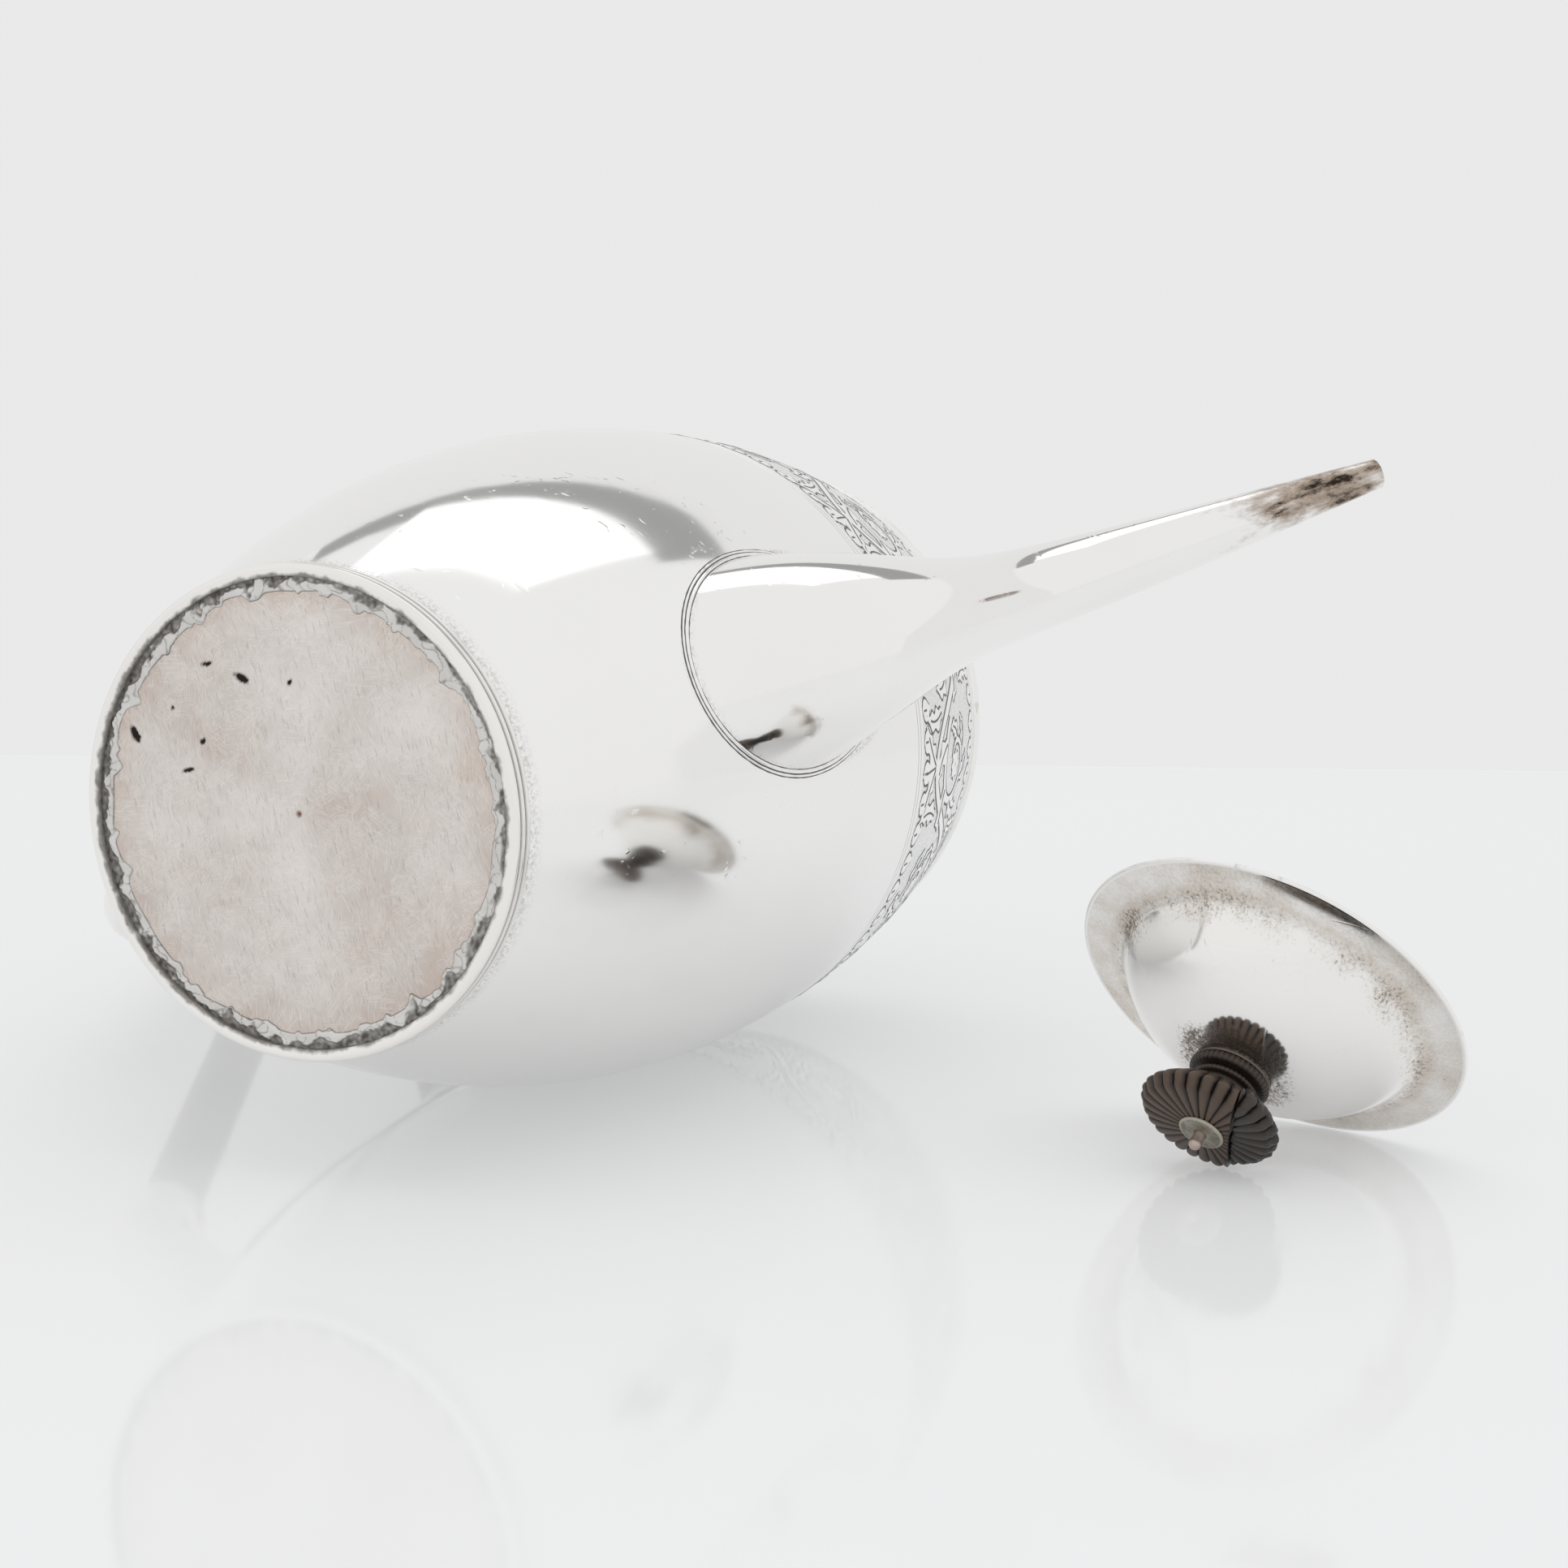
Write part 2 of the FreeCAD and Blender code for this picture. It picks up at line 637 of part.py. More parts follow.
pot_pieces = [
    body_shell, base_plate, foot_ring, base_solder_seam, shoulder_wire, shoulder_plate, mouth_collar,
    spout_shell, spout_root_wire, lower_socket, upper_socket, handle_grip, lower_handle_pin,
    upper_handle_pin,
]
lid_pieces = [
    lid_shell, lid_bezel, lid_rim_wire, finial_seat, finial_collar, finial_knob, finial_fragment,
    finial_washer, finial_pin, finial_nut,
]
doc.recompute()
for item in doc.Objects:
    if {"Invalid", "Error"} & set(item.State):
        raise RuntimeError(f"{item.Label} failed: {item.State}")

# The pot lies on its belly and on the handle's outermost point, which sets its roll
roll = math.degrees(math.asin(size("belly_radius - grip_radius") / size(handle_reach)))
lying = Rotation(Vector(0, 1, 0), 90) * Rotation(Vector(0, 0, 1), -roll)
pot_place = Placement(Vector(0, 0, size("belly_radius")), lying)

# The lid lies on its rim wire and on whichever ring of the knob stands out furthest
rim_round = size("brim_edge / 2")
rim_reach = size("brim_radius + rim_wire_width") - rim_round
tilt = min(
    math.atan2(rim_reach + rim_round - size("knob_radius") * across,
               size(f"{collar_top} - {rim}") - rim_round + size("knob_height") * up)
    for across, up in KNOB_RINGS)
lid_turn = Rotation(Vector(0, 0, 1), size("lid_angle")) * Rotation(
    Vector(0, 1, 0), 90 + math.degrees(tilt))
lid_height = (size(rim) + rim_round) * math.sin(tilt) + rim_reach * math.cos(tilt) + rim_round
rim_centre = Vector(size("lid_from_foot"), -size("lid_from_axis"), 0)
lid_base = rim_centre - lid_turn.multVec(Vector(0, 0, size(rim)))
lid_place = Placement(Vector(lid_base.x, lid_base.y, lid_height), lid_turn)
fragment_place = lid_place * Placement(Vector(0, 0, -size("break_slip")), Rotation())

for piece in pot_pieces:
    piece.Placement = pot_place
for piece in lid_pieces:
    piece.Placement = fragment_place if piece is finial_fragment else lid_place
lower_handle_pin.Placement = pot_place * Placement(
    lower_mouth - grip_way * size("tenon_depth / 2") - Vector(size("socket_mouth_radius + pin_proud"), 0, 0),
    Rotation(Vector(0, 0, 1), Vector(1, 0, 0)))
upper_handle_pin.Placement = pot_place * Placement(
    upper_mouth - arm_way * size("tenon_depth / 2") - Vector(size("socket_mouth_radius + pin_proud"), 0, 0),
    Rotation(Vector(0, 0, 1), Vector(1, 0, 0)))
doc.recompute()


def close_box(group):
    box = FreeCAD.BoundBox()
    for piece in group:
        box.add(piece.Shape.optimalBoundingBox(False))
    return box


# Pot and lid both touch the floor, and the origin is under the middle of the whole arrangement
pieces = pot_pieces + lid_pieces
box = close_box(pieces)
middle = Vector((box.XMin + box.XMax) / 2, (box.YMin + box.YMax) / 2, 0)
for group in (pot_pieces, lid_pieces):
    drop = Placement(Vector(-middle.x, -middle.y, -close_box(group).ZMin), Rotation())
    for piece in group:
        piece.Placement = drop * piece.Placement
doc.recompute()

for piece in pieces:
    if piece.Shape.isNull() or not piece.Shape.isValid() or not piece.Shape.Solids:
        raise RuntimeError(f"{piece.Label} has no sound solid")

os.makedirs("parts", exist_ok=True)
for piece in pieces:
    piece.Shape.exportStep(f"parts/{piece.Label}.step")
    print(f"{piece.Label}: {len(piece.Shape.Solids)} solid, {piece.Shape.Volume / 1000:.2f} cm3")

print("roll", round(roll, 3), "tilt", round(math.degrees(tilt), 3))
print("foot centre", body_shell.Placement.multVec(Vector(0, 0, 0)))
print("mouth centre", body_shell.Placement.multVec(Vector(0, 0, size(mouth_top))))
print("lid rim centre", lid_shell.Placement.multVec(Vector(0, 0, size(rim))))
print("lid axis", lid_shell.Placement.Rotation.multVec(Vector(0, 0, 1)))
print("lowest of pot and lid before the drop", close_box(pot_pieces).ZMin, close_box(lid_pieces).ZMin)
print("size", box.XLength, box.YLength, box.ZLength)
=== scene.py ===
import functools
import math

import bmesh
import bpy
import numpy as np
from mathutils import Matrix, Vector, noise


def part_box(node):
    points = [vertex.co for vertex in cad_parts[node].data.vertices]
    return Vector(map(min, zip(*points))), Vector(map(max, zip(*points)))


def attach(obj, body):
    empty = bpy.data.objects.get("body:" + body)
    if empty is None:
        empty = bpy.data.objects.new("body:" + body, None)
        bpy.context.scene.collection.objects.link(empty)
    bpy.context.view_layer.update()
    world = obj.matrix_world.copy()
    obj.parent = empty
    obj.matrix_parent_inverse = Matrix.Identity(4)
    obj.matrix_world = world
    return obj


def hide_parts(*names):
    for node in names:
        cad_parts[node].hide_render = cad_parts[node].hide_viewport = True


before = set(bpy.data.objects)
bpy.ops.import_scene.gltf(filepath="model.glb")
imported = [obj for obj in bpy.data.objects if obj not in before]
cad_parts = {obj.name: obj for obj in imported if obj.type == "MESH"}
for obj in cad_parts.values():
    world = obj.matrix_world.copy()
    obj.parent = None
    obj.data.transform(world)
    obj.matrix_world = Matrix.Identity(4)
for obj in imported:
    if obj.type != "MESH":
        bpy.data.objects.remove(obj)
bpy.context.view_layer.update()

# Silver coffee pot lying on belly and handle, lid beside it. Pieces are drawn upright in mm and laid down.
mm = 0.001
print("frame loaded")


# shader helpers

def nodeMaths(operation, swapped=False):
    def act(self, other):
        first, second = (other, self) if swapped else (self, other)
        return self.paint.node("ShaderNodeMath", {"operation": operation}, {0: first, 1: second})

    return act


class Link:
    __add__, __radd__ = nodeMaths("ADD"), nodeMaths("ADD", True)
    __sub__, __rsub__ = nodeMaths("SUBTRACT"), nodeMaths("SUBTRACT", True)
    __mul__, __rmul__ = nodeMaths("MULTIPLY"), nodeMaths("MULTIPLY", True)
    __truediv__, __pow__, most = nodeMaths("DIVIDE"), nodeMaths("POWER"), nodeMaths("MAXIMUM")

    def __init__(self, paint, socket):
        self.paint = paint
        self.socket = socket

    def size(self):
        return self.paint.node("ShaderNodeMath", {"operation": "ABSOLUTE"}, {0: self})

    def step(self, low, high):
        # 0 below low, 1 above high, soft between
        return self.paint.node("ShaderNodeMapRange", {"interpolation_type": "SMOOTHSTEP"},
                               {0: self, 1: low, 2: high, 3: 0.0, 4: 1.0})


class Paint:
    def __init__(self, name, upright=True):
        self.material = bpy.data.materials.new(name)
        self.material.use_nodes = True
        self.tree = self.material.node_tree
        self.shader = self.tree.nodes["Principled BSDF"]
        if upright:
            self.place = self.node("ShaderNodeAttribute", {"attribute_name": "spot"}, {}, out="Vector")
        else:
            self.place = self.node("ShaderNodeTexCoord", {}, {}, out="Object")

    def feed(self, socket, value):
        if isinstance(value, Link):
            self.tree.links.new(value.socket, socket)
        else:
            socket.default_value = (*value, 1.0) if socket.type == "RGBA" else value

    def node(self, kind, settings=None, feeds=None, out=0):
        made = self.tree.nodes.new(kind)
        for name, value in (settings or {}).items():
            setattr(made, name, value)
        for name, value in (feeds or {}).items():
            self.feed(made.inputs[name], value)
        return Link(self, made.outputs[out])

    def part(self, axis):
        return self.node("ShaderNodeSeparateXYZ", {}, {0: self.place}, out=axis)

    def cloud(self, scale, detail=4.0, rough=0.55, stretch=None, turn=0.0):
        # soft noise, drawn out into streaks by stretch
        at = self.place
        if stretch:
            at = self.node("ShaderNodeVectorRotate", {"rotation_type": "Z_AXIS"},
                           {"Vector": at, "Angle": math.radians(turn)})
            at = self.node("ShaderNodeVectorMath", {"operation": "MULTIPLY"}, {0: at, 1: stretch})
        feeds = {"Vector": at, "Scale": scale, "Detail": detail, "Roughness": rough}
        return self.node("ShaderNodeTexNoise", {}, feeds)

    def mark(self, name):
        return self.node("ShaderNodeAttribute", {"attribute_name": name}, {}, out="Fac")

    def mix(self, share, first, second):
        return self.node("ShaderNodeMix", {"data_type": "RGBA"}, {0: share, 6: first, 7: second}, out=2)

    def bump(self, height, strength, depth):
        feeds = {"Height": height, "Strength": strength, "Distance": depth}
        return self.node("ShaderNodeBump", {}, feeds)

    def reach(self):
        # distance from the upright piece's axis
        flat = self.node("ShaderNodeVectorMath", {"operation": "MULTIPLY"}, {0: self.place, 1: (1, 1, 0)})
        return self.node("ShaderNodeVectorMath", {"operation": "LENGTH"}, {0: flat}, out=1)

    def blend(self, share, second):
        # the paint's own shader mixed with another one
        own = Link(self, self.shader.outputs[0])
        both = self.node("ShaderNodeMixShader", {}, {0: share, 1: own, 2: second})
        self.feed(self.tree.nodes["Material Output"].inputs["Surface"], both)

    def finish(self, **feeds):
        for name, value in feeds.items():
            self.feed(self.shader.inputs[name.replace("_", " ")], value)
        return self.material

    def metal(self, tone, gloss, lift, share=1.0):
        return self.finish(Base_Color=tone, Metallic=share, Roughness=gloss, Normal=lift)


def scratches(paint, scale):
    # fine lines that run several ways, near 1 on a line
    runs = (paint.cloud(scale, 2.0, 0.5, (1.0, 0.07, 0.6), turn) for turn in (12, 58, 103, 151))
    return functools.reduce(Link.most, (run.step(0.68, 0.78) for run in runs))


# mesh helpers: a part is (points in mm, faces, point values by name)

def circle(count):
    return np.linspace(0, 2 * math.pi, count, endpoint=False)


def ringAt(reach, angles, height):
    return np.stack([reach * np.cos(angles), reach * np.sin(angles), height + 0 * angles], axis=1)


def wayAt(angle):
    return np.array([math.cos(angle), math.sin(angle)])


def unit(rows):
    return rows / np.linalg.norm(rows, axis=1)[:, None]


def ringFaces(rows, around, wrap=False, startCap=False, endCap=False):
    faces = []
    for row in range(rows if wrap else rows - 1):
        a = row * around
        b = ((row + 1) % rows) * around
        for step in range(around):
            following = (step + 1) % around
            faces.append((a + step, a + following, b + following, b + step))
    if startCap:
        faces.append(tuple(range(around))[::-1])
    if endCap:
        faces.append(tuple(range((rows - 1) * around, rows * around)))
    return faces


def turned(profile, turns=200, wrap=True, caps=False, wobble=None):
    # profile of (radius, height) spun about Z
    angles = circle(turns)
    rows = [ringAt(radius * wobble(angles, row) if wobble else radius, angles, height)
            for row, (radius, height) in enumerate(profile)]
    return np.concatenate(rows), ringFaces(len(profile), turns, wrap, caps, caps), {}


def tube(path, sides, away, halfSide, halfAway, caps=True, turns=20):
    # oval bar along path: sides and away are unit vectors across it at each point
    rows = np.zeros((len(path), turns, 3))
    for step, angle in enumerate(circle(turns)):
        across, out = math.cos(angle) * halfSide, math.sin(angle) * halfAway
        rows[:, step] = path + sides * np.reshape(across, (-1, 1)) + away * np.reshape(out, (-1, 1))
    return rows.reshape(-1, 3), ringFaces(len(path), turns, not caps, caps, caps), {}


def arcRun(centre, start, end, count):
    # points of a bend from start to end about its centre, the short way round
    first = math.atan2(start[1] - centre[1], start[0] - centre[0])
    last = math.atan2(end[1] - centre[1], end[0] - centre[0])
    turn = (last - first + math.pi) % (2 * math.pi) - math.pi
    reach = math.dist(centre, start)
    spots = [first + turn * step / count for step in range(count + 1)]
    return [(centre[0] + reach * math.cos(spot), centre[1] + reach * math.sin(spot)) for spot in spots]


def bendCentre(start, end):
    # centre of the bend that is level at its start
    run, rise = start[0] - end[0], end[1] - start[1]
    return (start[0], start[1] + (run ** 2 + rise ** 2) / (2 * rise))


def halfRound(radius, middle, across, up, count, first=0):
    # outer half of an oval, bottom to top
    angles = [math.pi * (step / count - 0.5) for step in range(first, count + 1)]
    return [(radius + across * math.cos(angle), middle + up * math.sin(angle)) for angle in angles]


def reedRun(radius, bottom, height, reeds, count=10):
    # outer side of a stack of half-round reeds, bottom to top
    run = []
    half = height / reeds / 2
    for reed in range(reeds):
        run += halfRound(radius, bottom + half * (2 * reed + 1), half, half, count, 1 if reed else 0)
    return run


def added(name, data):
    made = bpy.data.objects.new(name, data)
    bpy.context.scene.collection.objects.link(made)
    return made


def settle(mesh, place, sharp):
    # shading, and each point's place on the upright piece for the finishes
    mesh.shade_smooth()
    mesh.set_sharp_from_angle(angle=math.radians(sharp))
    spots = np.zeros(len(mesh.vertices) * 3)
    mesh.vertices.foreach_get("co", spots)
    back = np.array(place.inverted())
    spots = spots.reshape(-1, 3) @ back[:3, :3].T + back[:3, 3]
    mark = mesh.attributes.get("spot") or mesh.attributes.new("spot", "FLOAT_VECTOR", "POINT")
    mark.data.foreach_set("vector", spots.ravel())


def piece(name, parts, body, material, nodes=(), sharp=40.0, reshape=None):
    place = places[body]
    points, faces, marks = [], [], {}
    for partPoints, partFaces, partMarks in parts:
        start = len(points)
        points.extend((np.asarray(partPoints) * mm).tolist())
        faces.extend(tuple(start + index for index in face) for face in partFaces)
        for mark, values in partMarks.items():
            marks.setdefault(mark, []).append((start, values))
    mesh = bpy.data.meshes.new(name)
    mesh.from_pydata(points, [], faces)
    for mark, runs in marks.items():
        whole = np.zeros(len(points))
        for start, values in runs:
            whole[start:start + len(values)] = values
        mesh.attributes.new(mark, "FLOAT", "POINT").data.foreach_set("value", whole)
    work = bmesh.new()
    work.from_mesh(mesh)
    if reshape:
        reshape(work)
    bmesh.ops.recalc_face_normals(work, faces=work.faces)
    work.to_mesh(mesh)
    work.free()
    mesh.transform(place)
    settle(mesh, place, sharp)
    made = added(name, mesh)
    mesh.materials.append(material)
    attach(made, body)
    if nodes:
        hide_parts(*nodes)
    return made


def splineThrough(knots, values):
    # smooth curve through values at the knots, free at its ends
    knots = np.asarray(knots, float)
    values = np.asarray(values, float)
    count = len(knots)
    gaps = np.diff(knots)
    matrix = np.eye(count)
    right = np.zeros_like(values)
    for row in range(1, count - 1):
        matrix[row, row - 1:row + 2] = gaps[row - 1], 2 * (gaps[row - 1] + gaps[row]), gaps[row]
        right[row] = 6 * ((values[row + 1] - values[row]) / gaps[row]
                          - (values[row] - values[row - 1]) / gaps[row - 1])
    bends = np.linalg.solve(matrix, right)

    def at(spot):
        left = int(np.clip(np.searchsorted(knots, spot) - 1, 0, count - 2))
        a = (knots[left + 1] - spot) / gaps[left]
        b = (spot - knots[left]) / gaps[left]
        return (a * values[left] + b * values[left + 1]
                + ((a ** 3 - a) * bends[left] + (b ** 3 - b) * bends[left + 1]) * gaps[left] ** 2 / 6)

    return at


def rough(spot, scale, seed=0.0):
    return noise.noise(Vector((spot[0] * scale + seed, spot[1] * scale - seed, spot[2] * scale + 2 * seed)))


# finishes

def silverPaint(name, upright=True):
    paint = Paint(name, upright)
    wear = scratches(paint, 520)
    haze = paint.cloud(24, 5.0)
    return paint, wear, haze


brightTones = ((0.95, 0.945, 0.93), (0.89, 0.88, 0.86))


def plainSilver(name, grime=0.35, dull=0.08, upright=True, tones=brightTones):
    paint, wear, haze = silverPaint(name, upright)
    dirt = paint.cloud(240, 6.0, 0.65).step(0.58, 0.8) * grime
    tone = paint.mix(haze, *tones)
    tone = paint.mix(dirt, tone, (0.23, 0.2, 0.17))
    gloss = haze * 0.05 + wear * 0.06 + dirt * 0.35 + dull
    lift = paint.bump(wear + haze * 0.4, 0.06, 0.0002)
    return paint.metal(tone, gloss, lift)


pot = {"belly": 68.0, "bellyHeight": 117.0, "wall": 0.75, "shoulder": 58.3, "shoulderHeight": 196.0,
       "footRadius": 45.0, "footWidth": 2.4, "footHeight": 5.4, "reach": 162.5, "gripRadius": 6.5}
footLow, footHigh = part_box("foot_ring")
potRoll = math.asin((pot["belly"] - pot["gripRadius"]) / pot["reach"])
potMiddle = (footLow + footHigh) / 2
potPlace = (Matrix.Translation((footLow.x, potMiddle.y, potMiddle.z))
            @ Matrix.Rotation(math.radians(90), 4, "Y") @ Matrix.Rotation(-potRoll, 4, "Z"))
places = {"pot": potPlace}
wallFoot = pot["footRadius"] - pot["footHeight"] / 6


def bodyRadius(height):
    end, level = ((wallFoot, pot["footHeight"]) if height < pot["bellyHeight"]
                  else (pot["shoulder"], pot["shoulderHeight"]))
    rise = level - pot["bellyHeight"]
    centre = (pot["belly"] ** 2 - end ** 2 - rise ** 2) / (2 * (pot["belly"] - end))
    return centre + math.sqrt((pot["belly"] - centre) ** 2 - (height - pot["bellyHeight"]) ** 2)


# spout shape, used by the body's grime too: reach, height, half length, half width
spout = {"stations": ((38.5, 70.0, 29.5, 25.4), (64.0, 93.0, 20.9, 20.9), (79.0, 119.0, 13.3, 13.3),
                      (88.5, 151.0, 9.7, 9.7), (108.5, 178.6, 7.7, 7.7), (157.5, 214.6, 3.3, 3.3)),
         "wall": 0.55, "turns": 144, "rows": 150}


def horn(stations):
    # point on a lofted horn: side -1 is the spout's, 1 the handle's
    middles = np.array([station[:2] for station in stations])
    knots = np.concatenate([[0], np.cumsum(np.linalg.norm(np.diff(middles, axis=0), axis=1))])
    line = [splineThrough(knots, [station[part] for station in stations]) for part in range(4)]
    length = knots[-1]

    def point(share, angle, grow=0.0, side=-1):
        spot = share * length
        reach, height = line[0](spot), line[1](spot)
        step = 0.05
        ahead, behind = min(spot + step, length), max(spot - step, 0)
        along = np.array([line[0](ahead) - line[0](behind), line[1](ahead) - line[1](behind)])
        along = along / np.linalg.norm(along)
        half, width = line[2](spot) + grow, line[3](spot) + grow
        reach = reach - along[1] * half * math.cos(angle)
        height = height + along[0] * half * math.cos(angle)
        return np.array([width * math.sin(angle), side * reach, height])

    return point


def comesOut(point, angle, side, sink=0.0):
    # share along the horn where its surface comes out of the body
    def within(share):
        spot = point(share, angle, 0.0, side)
        return math.hypot(spot[0], spot[1]) < bodyRadius(min(max(spot[2], 6), 195)) - sink

    inside, outside = 0.0, 1.0
    for share in np.linspace(1, 0, 160):
        if within(share):
            inside = share
            break
        outside = share
    for turn in range(18):
        middle = (inside + outside) / 2
        if within(middle):
            inside = middle
        else:
            outside = middle
    return outside


def spoutRoot(count):
    return np.array([spoutPoint(comesOut(spoutPoint, angle, -1), angle) for angle in circle(count)])


spoutPoint = horn(spout["stations"])
rootLine = spoutRoot(spout["turns"])
rootMiddle = (rootLine.min(0) + rootLine.max(0)) / 2
rootHalf = (rootLine.max(0) - rootLine.min(0)) / 2

# body
body = {"turns": 240, "grooves": (136.4, 138.2, 193.0, 194.6), "grooveDepth": 0.2, "grooveWidth": 0.2,
        "holeRadius": 1.9, "holePitch": 7.5, "holeHeight": 87.775}


def bodySilver():
    paint, wear, haze = silverPaint("bodySilver")
    height = paint.part(2)
    across = paint.part(0)
    depth = paint.part(1)
    band = height.step(0.1394, 0.1402) * (1 - height.step(0.1914, 0.1922))
    stipple = paint.cloud(2400, 1.0, 0.5).step(0.45, 0.62)
    ground = band * (stipple * 0.32 + 0.2)
    lines = (1 - (height - groove * mm).size().step(0.0001, 0.00026) for groove in body["grooves"])
    border = functools.reduce(Link.most, lines)
    speck = paint.cloud(900, 6.0, 0.7)
    grit = paint.cloud(1500, 5.0, 0.65)
    # grime and painted shade on the body just above the foot ring
    footGrimeAndShade = (1 - height.step(0.0054, 0.0092)) * grit.step(0.4, 0.68) * 0.5
    wide = across / (rootHalf[0] * mm)
    tall = (height - rootMiddle[2] * mm) / (rootHalf[2] * mm)
    ring = (wide * wide + tall * tall) ** 0.5
    rim = (1 - (ring - 1.02).size().step(0.0, 0.06)) * (1 - depth.step(-0.02, 0.0))
    rootDirt = rim * grit.step(0.38, 0.72) * 0.45
    spots = speck.step(0.7, 0.78) * 0.35
    # dirt here also holds the painted shade beside the foot ring
    dirt = footGrimeAndShade.most(rootDirt).most(spots)
    tone = paint.mix(haze, (0.955, 0.95, 0.94), (0.91, 0.905, 0.89))
    tone = paint.mix(ground, tone, (0.5, 0.5, 0.5))
    tone = paint.mix(dirt.most(border * 0.75), tone, (0.2, 0.185, 0.165))
    gloss = haze * 0.09 + wear * 0.05 + dirt * 0.4 + ground * 0.16 + 0.05
    hammer = paint.cloud(75, 1.0, 0.4)
    lift = paint.bump(wear * 0.6 + haze * 0.8 + hammer * 1.6 + stipple * band, 0.1, 0.0003)
    return paint.metal(tone, gloss, lift)


def bodyProfile():
    levels = set(np.linspace(pot["footHeight"], pot["shoulderHeight"], 120).tolist())
    for groove in body["grooves"]:
        levels.update((groove + np.linspace(-0.5, 0.5, 9)).tolist())
    run = []
    for height in sorted(levels):
        sunk = sum(math.exp(-((height - groove) / body["grooveWidth"]) ** 2) for groove in body["grooves"])
        run.append((bodyRadius(height) - body["grooveDepth"] * sunk, height))
    back = np.linspace(pot["shoulderHeight"], pot["footHeight"], 48)
    return run + [(bodyRadius(height) - pot["wall"], height) for height in back]


def strainerDrills():
    spots = [(0, 0)] + [(ring, 60 * step / ring) for ring in (1, 2) for step in range(6 * ring)]
    work = bmesh.new()
    for ring, turn in spots:
        across = body["holePitch"] * ring * math.cos(math.radians(turn))
        up = body["holeHeight"] + body["holePitch"] * ring * math.sin(math.radians(turn))
        place = Matrix.Translation((across * mm, -0.06, up * mm)) @ Matrix.Rotation(math.pi / 2, 4, "X")
        bmesh.ops.create_cone(work, cap_ends=True, segments=20, radius1=body["holeRadius"] * mm,
                              radius2=body["holeRadius"] * mm, depth=0.04, matrix=place)
    mesh = bpy.data.meshes.new("strainerDrills")
    work.to_mesh(mesh)
    work.free()
    drills = added("strainerDrills", mesh)
    drills.matrix_world = potPlace
    return drills


bodyWall = turned(bodyProfile(), body["turns"])
bodyPiece = piece("eggBody", [bodyWall], "pot", bodySilver(), ["body_shell"], 50)
drills = strainerDrills()
pierce = bodyPiece.modifiers.new("pierce", "BOOLEAN")
pierce.object = drills
pierce.solver = "EXACT"
bpy.context.view_layer.update()
pierced = bpy.data.meshes.new_from_object(bodyPiece.evaluated_get(bpy.context.evaluated_depsgraph_get()))
bodyPiece.modifiers.clear()
bodyPiece.data = pierced
settle(pierced, potPlace, 50)
bpy.data.objects.remove(drills)
print("body", len(pierced.vertices))

# engraved leaf scroll on the body's upper band
scroll = {"repeats": 7, "middle": 165.8, "nominal": 64.0, "rise": 14.5, "stem": 1.0, "edge": 0.58,
          "vein": 0.24, "curl": 11.5, "tighten": 8.2, "curlSteps": 34, "curlLeaves": 6, "petals": 8,
          "borderLeaves": 62, "borderReach": 25.4}
scrollLength = 2 * math.pi * scroll["nominal"] / scroll["repeats"]


def bandPoint(spot, lift):
    angle = spot[0] / scroll["nominal"]
    height = scroll["middle"] + spot[1]
    reach = bodyRadius(height) + lift
    return (reach * math.cos(angle), reach * math.sin(angle), height)


def bandStrip(line, halves, lift, ridge):
    # closed flat bar along a line drawn on the band
    line = np.asarray(line)
    along = np.gradient(line, axis=0)
    along /= np.linalg.norm(along, axis=1)[:, None] + 1e-9
    side = np.stack([-along[:, 1], along[:, 0]], axis=1)
    points = []
    for spot, out, half in zip(line, side, halves):
        for share, level in ((1, lift), (0, lift + ridge), (-1, lift), (-1, -0.3), (1, -0.3)):
            points.append(bandPoint(spot + out * half * share, level))
    return points, ringFaces(len(line), 5, False, True, True), {}


def leafLine(base, heading, length, bend, count=18):
    spots = [np.array(base, float)]
    for step in range(count):
        way = wayAt(math.radians(heading + bend * (step / count) ** 1.4))
        spots.append(spots[-1] + way * length / count)
    return spots


def leafHalves(width, lobes, count=18):
    halves = []
    for step in range(count + 1):
        share = step / count
        swell = math.sin(math.pi * min(share ** 0.8 + 0.02, 0.985)) ** 0.75
        halves.append(width / 2 * swell * (0.76 + 0.24 * math.cos(2 * math.pi * lobes * share)) + 0.06)
    return halves


